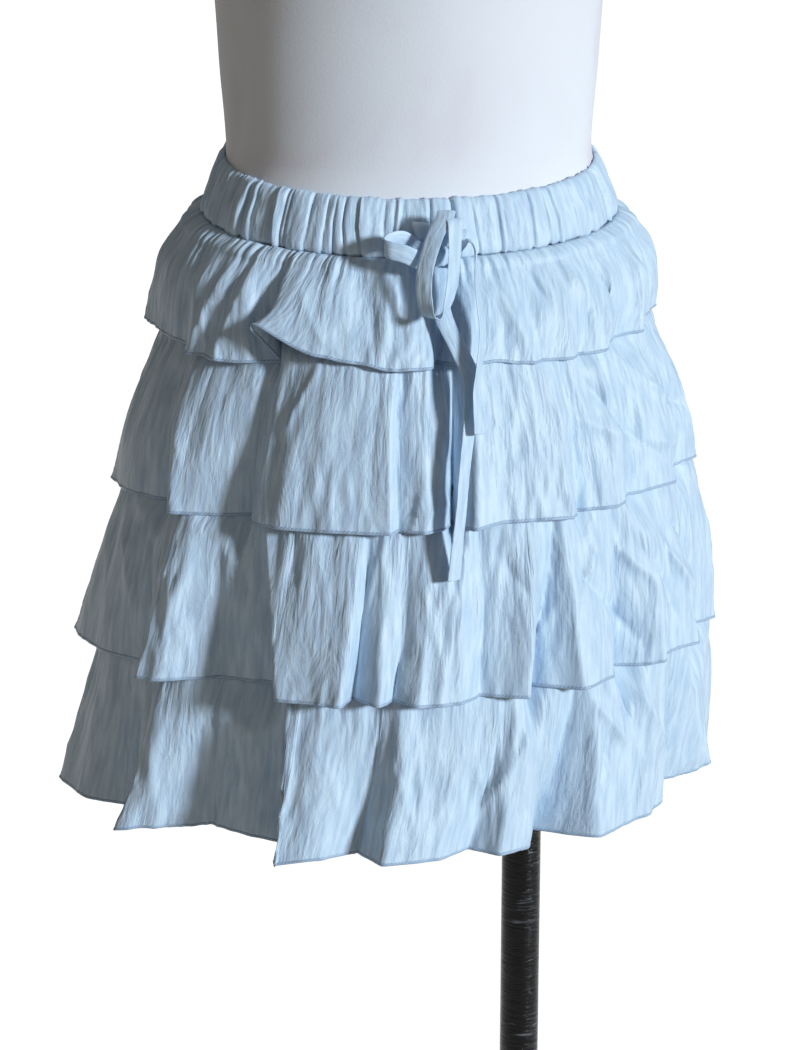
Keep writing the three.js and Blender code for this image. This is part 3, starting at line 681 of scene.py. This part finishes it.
def makeSleeve(name, node, size):
    # a sleeve with one shallow groove
    piece = cylinderPiece(name, size["radius"], size["low"], size["high"], pole["x"], sleeve["bevel"])
    middle = (size["low"] + size["high"]) / 2
    groove(piece, middle + sleeve["grooveAt"][0], middle + sleeve["grooveAt"][1], sleeve["groove"])
    placed(piece)
    deselect()
    makeScrew(name + "_screw", size["radius"], middle + sleeve["screwAt"])
    return finish(piece, blackMaterial, "black_stand", node)


def makePole():
    # a hairline joint shows where the two lengths of tube meet
    size = [pole[key] for key in ("radius", "low", "high", "x", "bevel")]
    piece = cylinderPiece("stand_pole_tube", *size)
    groove(piece, *pole["joint"], pole["groove"])
    return finish(placed(piece), blackMaterial, "black_stand", "stand_pole")


makeNeckCap()
makeBase()
makeSleeve("stand_collar_sleeve", "stand_collar", collar)
makeSleeve("stand_socket_sleeve", "stand_socket", socket)
makePole()
print("dress form made")

# the waistband: an elastic casing, gathered unevenly
waist = {
    "seam": 997, "height": 33.5, "dip": 15, "inside": 0.5, "thickBottom": 4.8, "thickTop": 2.6, "puff": 0.9,
    "radius": 110, "columns": 1280, "rows": 26, "innerRows": 6, "cut": (0.96, 0.036),
    "pinches": 84, "high": 2.9, "low": 1.2, "tilt": 2.2, "sharp": 0.9, "notch": 0.7,
    "seamRoll": 1.3, "topRoll": 1.4,
}


def waistSeamZ(angle):
    return waist["seam"] - waist["dip"] * np.cos(angle)


def gatherHeight(degrees, up):
    # the gathers round the band: flat faces of uneven width, each tilted, between sharp pinches
    k = np.arange(waist["pinches"])
    width = np.maximum(1 + 0.7 * np.sin(1.7 * k + 0.4) + 0.4 * np.sin(4.1 * k), 0.4)
    width *= 360 / width.sum()
    start = np.cumsum(width) - width
    turn = np.mod(degrees + 90 + 1.2 * (up - 0.5) * np.sin(degrees * 0.21), 360)
    i = np.searchsorted(start, turn, "right") - 1
    s = (turn - start[i]) / width[i]
    # how far the nearest pinch is, in millimetres, and how strong it is there
    near = np.minimum(s, 1 - s) * width[i] * math.radians(waist["radius"])
    nearest = np.where(s < 0.5, i, (i + 1) % waist["pinches"])
    atSeam, atTop = 0.5 + 0.5 * np.sin(7.7 * k), 0.55 + 0.45 * np.sin(3.7 * k + 2)
    strength = mix(atSeam[nearest], atTop[nearest], up)
    height = mix(waist["low"], waist["high"], 0.5 + 0.5 * np.sin(2.9 * k))[i]
    tilt = waist["tilt"] * np.sin(5.3 * k + 1)[i] * (s - 0.5)
    notch = waist["notch"] * strength * np.exp(-(near / waist["notch"]) ** 2)
    return (height + tilt) * (1 - strength * np.exp(-near / waist["sharp"])) - notch


def makeWaistband():
    # up is the share of the way from the seam to the folded top
    high, inside = waist["height"], waist["inside"]
    degrees = -90 + 360 * np.arange(waist["columns"]) / waist["columns"]
    up, turn = np.meshgrid(np.linspace(1, 0, waist["rows"]), degrees, indexing="ij")
    angle = np.radians(turn)
    around = 2 * np.pi * waist["radius"]
    u = around * (turn + 90) / 360
    v = (1 - up) * high
    slant = 1.6 * swirl(40, 60, 3.0, u, v, around)
    ridge = gatherHeight(turn + slant * (1 - np.abs(2 * up - 1)), up)
    wrinkle = swirl(3.2, 17, 9.0, u, v, around) * 0.5 + swirl(9, 12, 5.0, u, v, around) * 0.8
    full = 1 - np.abs(2 * up - 1) ** 7
    off = inside + mix(waist["thickBottom"], waist["thickTop"], up) + waist["puff"] * np.sin(np.pi * up) - 0.6
    off = off + ridge * (0.3 + 0.7 * full) + wrinkle * full
    # the casing rolls in at its folded top and at the seam
    seamRoll = (waist["seamRoll"] - 0.45 * ridge) * np.exp(-up * high / 1.5)
    off -= seamRoll + waist["topRoll"] * np.exp(-(1 - up) * high / 0.9)
    z = waistSeamZ(angle) + up * high + (ridge * 0.5 - 0.9) * up ** 3 - 0.28 * ridge * (1 - up) ** 6
    z = z + 1.1 * swirl(2.6, 400, 13.0, u, v * 0, around) * up ** 10
    half, depth = formSection(z, angle)
    outer = ringPoint(half + off, depth + off, angle, z)
    up, angle = np.meshgrid(np.linspace(0, 1, waist["innerRows"]), np.radians(degrees), indexing="ij")
    z = waistSeamZ(angle) + 0.8 + up * (high - 1.6)
    half, depth = formSection(z, angle)
    inner = ringPoint(half + inside, depth + inside, angle, z)
    # the loops run down the outside and up the inside, and the last meets the first
    points = np.concatenate([outer, inner])
    rows, columns = points.shape[:2]
    run = np.concatenate([[0], np.cumsum(np.linalg.norm(np.diff(points[:, 0], axis=0), axis=1))])
    u = np.repeat(u[:1], rows, 0)
    uvs = gridUvs(u, np.repeat(run[:, None], columns, 1), True, around)
    closing = np.stack([u[0], np.full(columns, run[-1])], 1)
    ahead = closing + [around / columns, 0]
    shutUvs = np.stack([closing, closing + [0, 1.5], ahead + [0, 1.5], ahead], 1).reshape(-1, 2) * mm
    piece = newPiece("waistband_casing", points.reshape(-1, 3), ringFaces(rows, columns),
                     np.concatenate([uvs, shutUvs]))
    return finish(piece, cottonMaterial, "powder_blue_cloth", "waistband_front", "waistband_back")


makeWaistband()
print("waistband made")

# layers under the tiers
# each row is z, then how far the wall stands off the form at its sides and at its front and back
foundation = [(960, 3, 3), (920, 3.2, 3.2), (885, 4.4, 4.8), (850, 6, 8), (815, 11, 16), (751, 18, 29)]
foundationColumns = list(zip(*foundation))
# each row is z, then how far it has gone from half the body's ring to a leg's own
shortsLevels = [(960, 0), (920, 0), (885, 0), (850, 0), (815, 0), (795, 0.02), (788, 0.5), (780, 1), (715, 1)]
layers = {"freeBelow": 815, "yoke": 960, "layerGap": 1.8, "wall": 1.0, "backEase": 5}
shorts = {"offForm": 1.4, "middle": 80, "half": 79.2, "depth": 96, "cut": (0.60, 0.29)}
skirtBase = {"cut": (1.0, 0.25), "radius": 140, "soft": 0.9}


def foundationRing(z, angle):
    half, depth = formSection(np.maximum(z, layers["freeBelow"]), angle)
    wide = curveThrough(foundationColumns[0], foundationColumns[1], z)
    deep = curveThrough(foundationColumns[0], foundationColumns[2], z)
    return half + wide, depth + deep


def makeSkirtBase():
    angle = np.radians(-90 + np.arange(180) * 2)
    below = np.concatenate([np.linspace(0, 1, 8)[:-1], 1 + np.linspace(0, 1, 34)])
    share, turn = np.meshgrid(below, angle, indexing="ij")
    top = waistSeamZ(turn) - 0.6
    yoke = layers["yoke"]
    z = np.where(share < 1, mix(top, yoke, share), mix(yoke, foundation[-1][0], share - 1))
    half, depth = foundationRing(z, turn)
    points = ringPoint(half, depth, turn, z)
    around = 2 * np.pi * skirtBase["radius"]
    u = around * (np.degrees(turn) + 90) / 360
    v = top - z
    soft = swirl(16, 60, 2.0, u, v, around) * np.clip(v / 90, 0, 1)
    points += gridNormals(points) * (soft * skirtBase["soft"])[..., None]
    piece = clothPiece("skirt_base_panel", points, u, v, layers["wall"], True, around)
    finish(piece, cottonMaterial, "powder_blue_cloth", "skirt_base_front", "skirt_base_back")
    return piece


def makeShorts(name, node, sign):
    # from the centre front round the outside to the centre back; legs close at the inseam
    rows = np.concatenate([[0, 0.5], 1 + np.linspace(0, len(shortsLevels) - 1, 50)])
    place, share = np.meshgrid(rows, np.linspace(0.0005, 0.9995, 91), indexing="ij")
    angle = np.pi * share
    levels = 1 + np.arange(len(shortsLevels))
    levelZ, legShare = [np.interp(place, levels, column) for column in zip(*shortsLevels)]
    z = np.where(place < 1, mix(waistSeamZ(angle) - 0.6, layers["yoke"], place), levelZ)
    half, depth = formSection(np.maximum(z, layers["freeBelow"]), angle)
    body = ringPoint(half + shorts["offForm"], depth + shorts["offForm"], angle, z)
    leg = np.stack([shorts["middle"] - shorts["half"] * np.cos(2 * angle),
                    -shorts["depth"] * np.sin(2 * angle), z], 2)
    points = mix(body, leg, legShare[..., None])
    points[..., 0] *= sign
    if sign < 0:
        points = points[:, ::-1]
    run = np.cumsum(np.linalg.norm(np.diff(points[0], axis=0, prepend=points[0][:1]), axis=1))
    piece = clothPiece(name, points, np.repeat(run[None], len(rows), 0), 1000 - z, layers["wall"], False)
    return finish(piece, cottonMaterial, "powder_blue_cloth", node)


basePiece = makeSkirtBase()
makeShorts("shorts_panel_left", "shorts_left", 1)
makeShorts("shorts_panel_right", "shorts_right", -1)
print("under layers made")

# the tiers, from the top one down. In each table:
# - rings are the share of the way from seam to hem, half the width and the depth through the fold tops,
#   and how deep the folds are
# - hemLine is a turn, then how far the hem lifts and leans there
# - panels are fold lines: the turn at the seam and at the hem, then how far out they stand at each,
#   1 on a fold top and 0 in a trough
# - creases go from a turn and a share to another turn and share, then have a height and a width
tiers = {
    "tier_1": {
        "seam": 997, "hem": 921, "shift": -5, "cut": (1.12, 0.084),
        "backFolds": 11, "backFromTop": True, "wander": 5,
        "rings": [(0.12, 143, 101, 4), (0.35, 156, 112, 11), (0.65, 161, 123, 16), (1, 161.2, 132.2, 20)],
        "hemLine": [
            (-100, 10, 0), (-88, 9, 0), (-75, 5, 0), (-61, 1, 0), (-50, 0, 0), (-42, 0, 5), (-35, 25, -22),
            (-27, 9, -3), (-20, 5, 0), (-12, 1, 0), (-4, 1, 0), (4, 2, 0), (10, 3, 0), (17, 1, 0), (24, 0, 0),
            (38, 0, 0), (46, 3, 0), (56, 5, 0), (66, 9, 0), (76, 13, 0), (86, 15, 0)],
        "panels": [
            (-91, -95, 0.9, 1), (-78, -82, 0.6, 0.7), (-66, -70, 0.45, 0.5), (-56, -64, 0.9, 1),
            (-52, -60, 0.6, 0.75), (-48, -56, 0.85, 0.95), (-45, -50, 0.5, 0.75), (-43, -45, 0.2, 0.25),
            (-40, -42, 0.1, 0.05), (-38, -36.5, 0.85, 0.95), (-26, -27, 1, 1), (-19, -20, 0.8, 0.9),
            (-12, -11, 0.95, 1), (-4.5, -4, 0.85, 0.9), (-0.5, -1.5, 0.05, 0), (4.6, 4.4, 0.9, 1),
            (8.5, 8, 0.75, 0.85), (11.5, 13, 0.75, 0.75), (13, 20, 0.95, 1), (17, 23, 0.6, 0.7),
            (28, 30, 0.95, 1), (37, 34, 0.5, 0.65), (45, 41, 0.95, 1), (50, 49, 0.4, 0.4),
            (57, 57, 0.9, 1), (65, 66, 0.5, 0.6), (76, 75, 0.95, 1), (84, 86, 0.6, 0.7)],
        "creases": [
            (-33, 0.3, -27, 0.8, 1.6, 4), (-15, 0.2, -17, 0.9, -1.8, 4), (11, 0.3, 19, 0.95, 2.2, 5),
            (40, 0.2, 46, 0.7, -3.0, 4), (30, 0.15, 36, 0.6, 3.2, 4), (-63, 0.3, -70, 0.9, 1.5, 5),
            (20, 0.1, 24, 0.5, -2.6, 3), (54, 0.15, 62, 0.7, 2.8, 4)],
    },
    "tier_2": {
        "seam": 945, "hem": 829.5, "shift": -3, "cut": (1.26, 0.126),
        "backFolds": 13, "backFromTop": False, "wander": 4,
        "rings": [(0.2, 157, 128, 8), (0.35, 166, 134, 13), (0.5, 174, 140, 17), (0.75, 183, 149, 23),
                  (1, 187.4, 157.4, 28)],
        "hemLine": [
            (-96, 0, 0), (0.5, 0, 0), (7, 2, 0), (17, 2, 0), (25, 1, 0), (34, 2, 0), (43, 3, 0), (52, 5, 0),
            (62, 6, 0), (70, 8, 0), (80, 10, 0), (90, 2, 0)],
        "panels": [
            (-86, -94, 0.9, 1), (-77, -80, 0.85, 0.75), (-70, -67, 0.5, 0.25), (-64, -60, 0.95, 1),
            (-55, -54, 0.6, 0.62), (-47, -47, 0.25, 0.2), (-43.4, -44.3, 0.05, 0.05),
            (-38, -41, 0.5, 0.65), (-30, -35, 0.9, 0.85), (-25, -22, 0.85, 0.9), (-13.4, -12.7, 0.95, 1),
            (-12.2, -11.4, 0.6, 0.7), (-7, -6.6, 0.85, 1), (-2, -2.4, 0.6, 0.7), (0.2, -0.4, 0.05, 0.1),
            (3.8, 2.6, 0.9, 1), (10, 9, 0.7, 0.75), (21, 23, 0.95, 1), (27, 26, 0.45, 0.5),
            (36, 34, 0.9, 0.95), (44, 42, 0.5, 0.5), (53, 54, 0.9, 1), (60, 64, 0.6, 0.5),
            (70, 73, 0.95, 1), (80, 82, 0.5, 0.5)],
        "creases": [
            (-29.5, 0.16, -36, 0.55, 2.0, 3), (20.8, 0.44, 44, 0.72, 2.6, 6), (44, 0.72, 66, 0.82, 2.2, 6),
            (30, 0.3, 40, 0.62, -3.4, 5), (-70, 0.3, -58, 0.8, 1.6, 5), (48, 0.35, 60, 0.6, 3.4, 5),
            (56, 0.5, 72, 0.66, -3.4, 4), (36, 0.5, 52, 0.86, -2.8, 5)],
    },
    "tier_3": {
        "seam": 855, "hem": 729.8, "shift": -8, "cut": (1.54, 0.136),
        "backFolds": 13, "backFromTop": False, "wander": 3.5,
        "rings": [(0.2, 183, 151, 10), (0.35, 190, 156, 16), (0.5, 196, 162, 22), (0.75, 203, 171, 30),
                  (1, 208, 178.9, 38)],
        "hemLine": [
            (-96, 0, 0), (39, 0, 0), (47, 3, 0), (55, 3, 0), (64, 3, 0), (76, 0, 0), (88, 0, 0)],
        "panels": [
            (-88, -96, 0.9, 1), (-78, -80, 0.85, 0.75), (-69, -65, 0.5, 0.3), (-59, -61, 0.95, 1),
            (-56, -57, 0.85, 0.9), (-49.5, -48, 0.2, 0.12), (-41, -33.6, 0.1, 0.02),
            (-38.3, -31.4, 0.6, 0.85), (-29, -25, 0.75, 0.85), (-18.6, -20, 0.95, 1),
            (-17.4, -18.4, 0.55, 0.5), (-15, -13.4, 0.85, 0.95), (-9.6, -11, 0.7, 0.6),
            (-6.4, -7, 0.9, 1), (-1, 0.5, 0.9, 0.95), (4, 4.5, 0.4, 0.6), (14, 12.2, 0.9, 1),
            (19, 14.4, 0.4, 0.3), (20, 22.3, 0.85, 1), (29, 31, 0.65, 0.8), (34, 35, 0.3, 0.3),
            (41, 43, 0.95, 0.95), (47, 50, 0.6, 0.8), (53, 55, 0.9, 1), (60, 61, 0.4, 0.3),
            (72, 75, 0.95, 1), (82, 85, 0.6, 0.5)],
        "creases": [
            (19.8, 0.55, 12.6, 0.97, 3.2, 3), (29, 0.3, 22, 0.62, 4.2, 4), (22, 0.45, 33, 0.7, -4.0, 4),
            (42, 0.45, 50, 0.82, -5.0, 3.5), (46, 0.4, 56, 0.76, 4.8, 4), (50, 0.3, 58, 0.55, -4.0, 4),
            (33, 0.35, 42, 0.6, 4.2, 4), (31, 0.6, 40, 0.9, -3.6, 4), (58, 0.5, 66, 0.85, -4.0, 4),
            (-27, 0.3, -22, 0.7, 1.4, 4), (-80, 0.35, -70, 0.8, 1.8, 6), (6, 0.3, 14, 0.6, -2.0, 5)],
    },
    "tier_4": {
        "seam": 755, "hem": 633.5, "shift": -14, "cut": (1.66, 0.134),
        "backFolds": 13, "backFromTop": False, "wander": 4,
        "rings": [(0.2, 198, 166, 12), (0.35, 202, 170, 20), (0.6, 208, 176, 33), (1, 214.5, 184.5, 48)],
        "hemLine": [
            (-92, 0, 0), (-72, 0, 0), (-65, -3, 0), (-57, 0, 0), (-40, 0, 0), (-31, -3, 0), (-22, 0, 0),
            (33, 0, 0), (42, 3, 0), (52, 4, 0), (60, 5, 0), (70, 12, 0), (80, 6, 0), (90, 0, 0)],
        "panels": [
            (-94, -92, 0.95, 1), (-80, -79, 0.85, 0.8), (-71, -67, 0.5, 0.2), (-59.5, -63, 0.9, 1),
            (-57, -60, 0.82, 0.9), (-49, -49.5, 0.2, 0.12), (-41, -38, 0.25, 0.25),
            (-33.6, -31, 0.15, 0.2), (-32, -29.4, 0.9, 1), (-26, -21.5, 0.85, 0.85),
            (-14.8, -15.6, 0.65, 0.55), (-11.8, -11.2, 0.95, 1), (-4.8, -2, 0.85, 0.9),
            (7.2, 4.2, 0.65, 0.6), (8.9, 8.2, 0.8, 0.95), (14, 14.4, 0.8, 0.85), (21.6, 17.8, 0.55, 0.2),
            (23.6, 27, 0.85, 1), (33, 34, 0.8, 0.9), (40, 42, 0.85, 0.95), (47, 48.5, 0.5, 0.75),
            (51, 50.6, 0.3, 0.1), (54, 65, 0.6, 1), (75, 76, 0.7, 0.7), (84, 86, 0.9, 1)],
        "creases": [
            (24, 0.3, 34, 0.62, 4.0, 4), (33, 0.2, 48, 0.88, 3.6, 5), (45, 0.42, 44, 0.68, -4.6, 4),
            (13, 0.35, 5, 0.8, 3.4, 4), (29, 0.4, 26, 0.85, -3.8, 4), (38, 0.5, 36, 0.9, -3.4, 4),
            (-51, 0.3, -52, 0.9, -1.8, 3), (-12, 0.5, -6, 0.9, 1.8, 4), (-60, 0.5, -57, 0.9, 1.6, 3),
            (16, 0.5, 20, 0.75, 2.2, 5), (-24, 0.5, -19, 0.85, 1.3, 4)],
    },
}
cloth = {
    "columns": 740, "rows": 54, "wall": 0.7, "foldTop": 0.25, "gap": 1.3, "tieGap": 0.6,
    "gather": 2.6, "gatherWide": 6.5, "gatherShort": 6, "gatherLong": 34,
    "soft": 2.2, "crease": 1.3, "fine": 0.3,
}
hem = {"out": 0.62, "high": 1.15, "up": 0.6, "sides": 10}


def backFolds(tier):
    # uneven folds round the back, tops and troughs by turns: each is a turn and how far out it stands
    start, end = tier["hemLine"][-1][0], tier["hemLine"][0][0] + 360
    places = 2 * tier["backFolds"] + (0 if tier["backFromTop"] else 1)
    rows = []
    for k in range(1, places):
        sway = math.sin(2.4 * k + tier["seam"])
        onTop = (k % 2 == 1) != tier["backFromTop"]
        out = 0.85 + 0.15 * sway if onTop else 0.4 + 0.2 * sway
        rows.append((start + (end - start) * k / places + sway * tier["wander"] * 0.4, out))
    return rows


def allPanels(tier):
    # fold lines from seam to hem: the front's and sides' own, then the back's folds, each a little aslant
    rows = list(tier["panels"])
    for k, (turn, out) in enumerate(backFolds(tier)):
        rows.append((turn + 1.6 * math.sin(1.3 * k + tier["seam"]), turn, mix(out, 0.75, 0.3), out))
    return [np.array(column) for column in zip(*rows)]


def panelOut(tier, share, turn):
    # cloth runs straight from one fold line to the next, so a fold top is a sharp edge
    topTurn, hemTurn, topOut, hemOut = allPanels(tier)
    order = 0.01 * np.arange(len(topTurn))
    value = np.empty(share.shape)
    for row in range(len(share)):
        along = np.clip((share[row, 0] - cloth["foldTop"]) / (1 - cloth["foldTop"]), 0, 1)
        at = np.maximum.accumulate(mix(topTurn, hemTurn, along) - order) + order
        out = mix(topOut, hemOut, along)
        place = at[0] + np.mod(turn[row] - at[0], 360)
        value[row] = np.interp(place, np.append(at, at[0] + 360), np.append(out, out[0]))
    return value


def creaseHeight(tier, u, v, turn, share):
    # straight creases, each from one point of the cloth to another, and the like again across the back
    value = np.zeros(u.shape)
    scale = (u[-1, -1] - u[-1, 0]) / 360
    for fromTurn, fromShare, toTurn, toShare, height, width in tier["creases"]:
        for across in (0, 173):
            x = (np.mod(turn - fromTurn - across + 180, 360) - 180) * scale
            y = (share - fromShare) * v[-1, 0]
            endX, endY = (toTurn - fromTurn) * scale, (toShare - fromShare) * v[-1, 0]
            s = np.clip((x * endX + y * endY) / (endX ** 2 + endY ** 2), 0, 1)
            off = np.hypot(x - s * endX, y - s * endY)
            value += height * np.sin(np.pi * (0.02 + 0.96 * s)) ** 0.7 * np.exp(-(off / width) ** 1.2)
    return value


def tierGrid(name, tier):
    # the solid's own surface at many more points
    t = np.linspace(0, 1, cloth["rows"])
    degrees = -90 + 360 * np.arange(cloth["columns"]) / cloth["columns"]
    share, turn = np.meshgrid(t, degrees, indexing="ij")
    hemRows = tier["hemLine"] + [(at, 0, 0) for at, out in backFolds(tier)]
    places, halves, depths, folds = zip(*tier["rings"])
    inward = (1 - panelOut(tier, share, turn)) * curveThrough(places, folds, share)
    half = curveThrough(places, halves, share) - inward
    depth = curveThrough(places, depths, share) - inward
    lift, lean = [foldValue(hemRows, column, turn) for column in (1, 2)]
    angle = np.radians(turn) + lean * share ** 2 / (0.5 * (half + depth))
    top = waistSeamZ(angle) - 0.55 if name == "tier_1" else tier["seam"] + 0 * angle
    seatHalf, seatDepth = foundationRing(top, angle)
    free = np.sin(np.minimum(share / places[0], 1) * np.pi / 2)
    ease = layers["backEase"] * (1 - np.cos(angle)) / 2
    z = mix(top, tier["hem"], share) + lift * share ** 2
    points = ringPoint(mix(seatHalf + layers["layerGap"], half, free),
                       mix(seatDepth + layers["layerGap"], depth + ease, free), angle, z)
    points[..., 0] += tier["shift"] * share ** 2
    return points, share, turn


def dress(tier, points, share, turn, seed):
    # gathers at the seam, soft folds and crushed creases, laid on the solid's surface
    hemLine = points[-1]
    steps = np.linalg.norm(np.roll(hemLine, -1, 0) - hemLine, axis=1)
    around = float(steps.sum())
    run = np.concatenate([[0], np.cumsum(steps)[:-1]])
    u = np.repeat(run[None], len(points), 0)
    down = np.cumsum(np.linalg.norm(np.diff(points, axis=0, prepend=points[:1]), axis=2), axis=0)
    v = np.repeat(down.mean(1)[:, None], points.shape[1], 1)
    pinch = 1 - np.exp(-v / 2.5)
    reach = np.clip(0.5 + 1.7 * swirl(24, 400, seed + 2, u, v * 0, around), 0, 1)
    fade = np.exp(-v / (cloth["gatherShort"] + cloth["gatherLong"] * reach ** 2))
    # sharp pinches with puffs between them, as uneven as the noise
    gather = np.minimum(5 * np.abs(swirl(cloth["gatherWide"], 260, seed, u, v, around)), 1.2) - 0.5
    gather = gather * pinch * fade
    free = np.clip(v / 25, 0, 1)
    soft = swirl(15, 75, seed + 8, u, v, around)
    bend = swirl(26, 34, seed + 24, u, v, around)
    crease = 0.5 - 2.2 * np.abs(swirl(9, 38, seed + 12, u + 4 * bend, v + 10 * bend, around))
    fine = swirl(3.6, 22, seed + 16, u + 2 * bend, v + 5 * bend, around)
    busy = np.clip(0.5 + 2.2 * swirl(52, 60, seed + 20, u, v, around), 0.08, 1.3)
    shape = cloth["gather"] * gather + free * cloth["soft"] * soft
    shape = shape + free * busy * (cloth["crease"] * crease + cloth["fine"] * fine)
    shape = shape + creaseHeight(tier, u, v, turn, share)
    return points + gridNormals(points) * shape[..., None], u, v, around


def treeOf(piece):
    return BVHTree.FromPolygons([vertex.co for vertex in piece.data.vertices],
                                [list(face.vertices) for face in piece.data.polygons])


def keepWithin(points, tree, gap, slope=0.45):
    # pulls points in where a layer lies over them; below its edge the pull dies away down the cloth
    pull = np.zeros(points.shape[:2])
    reach = np.hypot(points[..., 0], points[..., 1])
    for k in np.ndindex(pull.shape):
        x, y, z = points[k]
        outward = Vector((x / reach[k], y / reach[k], 0))
        hit = tree.ray_cast(Vector((0, 0, z * mm)), outward, (reach[k] + 40) * mm)
        if hit[0] is not None:
            pull[k] = max(0.0, reach[k] - (hit[3] / mm - gap))
    for row in range(1, len(pull)):
        drop = np.linalg.norm(points[row] - points[row - 1], axis=1)
        pull[row] = np.maximum(pull[row], pull[row - 1] - slope * drop)
    # neighbouring columns share the pull, so it leaves no step
    for _ in range(3):
        pull = np.maximum(pull, (np.roll(pull, 1, 1) + np.roll(pull, -1, 1)) / 2 - 0.05)
    points[..., :2] *= ((reach - pull) / reach)[..., None]
    return points


def keepOutside(points, tree, gap):
    # pushes points out where they would sink into a layer under them
    flat = points.reshape(-1, 3)
    far = 400
    for k, (x, y, z) in enumerate(flat):
        reach = math.hypot(x, y)
        start = Vector((x / reach * far, y / reach * far, z)) * mm
        hit = tree.ray_cast(start, Vector((-x / reach, -y / reach, 0)), far * mm)
        if hit[0] is not None and reach < far - hit[3] / mm + gap:
            flat[k, :2] *= (far - hit[3] / mm + gap) / reach
    return points


def makeHem(name, points, u, around):
    # overlocked edge: a flat cord of thread round the raw hem
    normal = gridNormals(points)[-1]
    down = unitRows(points[-1] - points[-3])
    turn = np.linspace(0, 2 * np.pi, hem["sides"], endpoint=False)
    middle = points[-1] - down * hem["up"]
    loops = (middle[None] + normal[None] * (hem["out"] * np.cos(turn))[:, None, None]
             + down[None] * (hem["high"] * np.sin(turn))[:, None, None])
    rows, columns = loops.shape[:2]
    lay = np.repeat(np.arange(rows + 1.0)[:, None], columns, 1)
    uvs = gridUvs(np.repeat(u[-1:], rows + 1, 0), lay, True, around)
    piece = newPiece(name + "_overlocked_hem", loops.reshape(-1, 3), ringFaces(rows, columns), uvs)
    return finish(piece, threadMaterial, "powder_blue_cloth")


def makeTier(name, above, seed):
    tier = tiers[name]
    points, share, turn = tierGrid(name, tier)
    points, u, v, around = dress(tier, points, share, turn, seed)
    points = keepOutside(points, treeOf(basePiece), cloth["gap"])
    if above is not None:
        points = keepWithin(points, treeOf(above), cloth["gap"])
    for tiePiece, path in tiePieces.values():
        points = keepWithin(points, treeOf(tiePiece), cloth["tieGap"], 2.0)
    piece = clothPiece(name + "_ruffle", points, u, v, cloth["wall"], True, around)
    hemPiece = makeHem(name, points, u, around)
    finish(piece, cottonMaterial, "powder_blue_cloth", name + "_front", name + "_back")
    print(name, "made, its hem is", round(around), "mm round")
    return piece


above = None
for seed, name in enumerate(tiers):
    above = makeTier(name, above, 31.0 * seed)

# the stage and the light
light = {
    "key": {"toward": (0.65, -0.73, 0.27), "power": 3.45, "spread": 9, "colour": "#e9f4ff"},
    "world": {"colour": "#fff6ea", "power": 0.18},
    "floor": {"size": 60, "glow": 0.75, "tooth": (3, 3, 3), "colours": [(0.0, "#e0e0e0"), (1.0, "#e6e6e6")]},
    # brightness in and out: mid tones lifted and highlights held back, as a camera does
    "tone": [(0.06, 0.055), (0.18, 0.19), (0.36, 0.38), (0.6, 0.64), (0.82, 0.85)],
}


def makeStage():
    deselect()
    bpy.ops.mesh.primitive_plane_add(size=light["floor"]["size"])
    floor = bpy.context.object
    floor.name = "floor"
    # matt seamless paper: pale and plain, with a faint tooth
    material, shader = newMaterial("matt_background_paper", Roughness=0.9, Emission_Color=linear("#ffffff"),
                                   Emission_Strength=light["floor"]["glow"])
    place = addNode(material, "TexCoord").outputs["Object"]
    tooth = noiseOn(material, place, light["floor"]["tooth"], 2.0)
    linkTo(material, rampBetween(material, tooth, light["floor"]["colours"]), shader.inputs["Base Color"])
    floor.data.materials.append(material)
    # the paper throws no light back, so the side away from the key stays in shade
    floor.visible_diffuse = False
    key = bpy.data.lights.new("key", "SUN")
    key.energy = light["key"]["power"]
    key.angle = math.radians(light["key"]["spread"])
    key.color = linear(light["key"]["colour"])[:3]
    lamp = bpy.data.objects.new("key", key)
    lamp.rotation_euler = Vector(light["key"]["toward"]).to_track_quat("Z", "Y").to_euler()
    bpy.context.scene.collection.objects.link(lamp)
    world = bpy.data.worlds.new("studio")
    world.use_nodes = True
    background = world.node_tree.nodes["Background"]
    background.inputs[0].default_value = linear(light["world"]["colour"])
    background.inputs[1].default_value = light["world"]["power"]
    bpy.context.scene.world = world


makeStage()
display = bpy.context.scene.view_settings
display.view_transform = "Standard"
display.use_curve_mapping = True
for place, value in light["tone"]:
    display.curve_mapping.curves[3].points.new(place, value)
display.curve_mapping.update()
print("stage made")
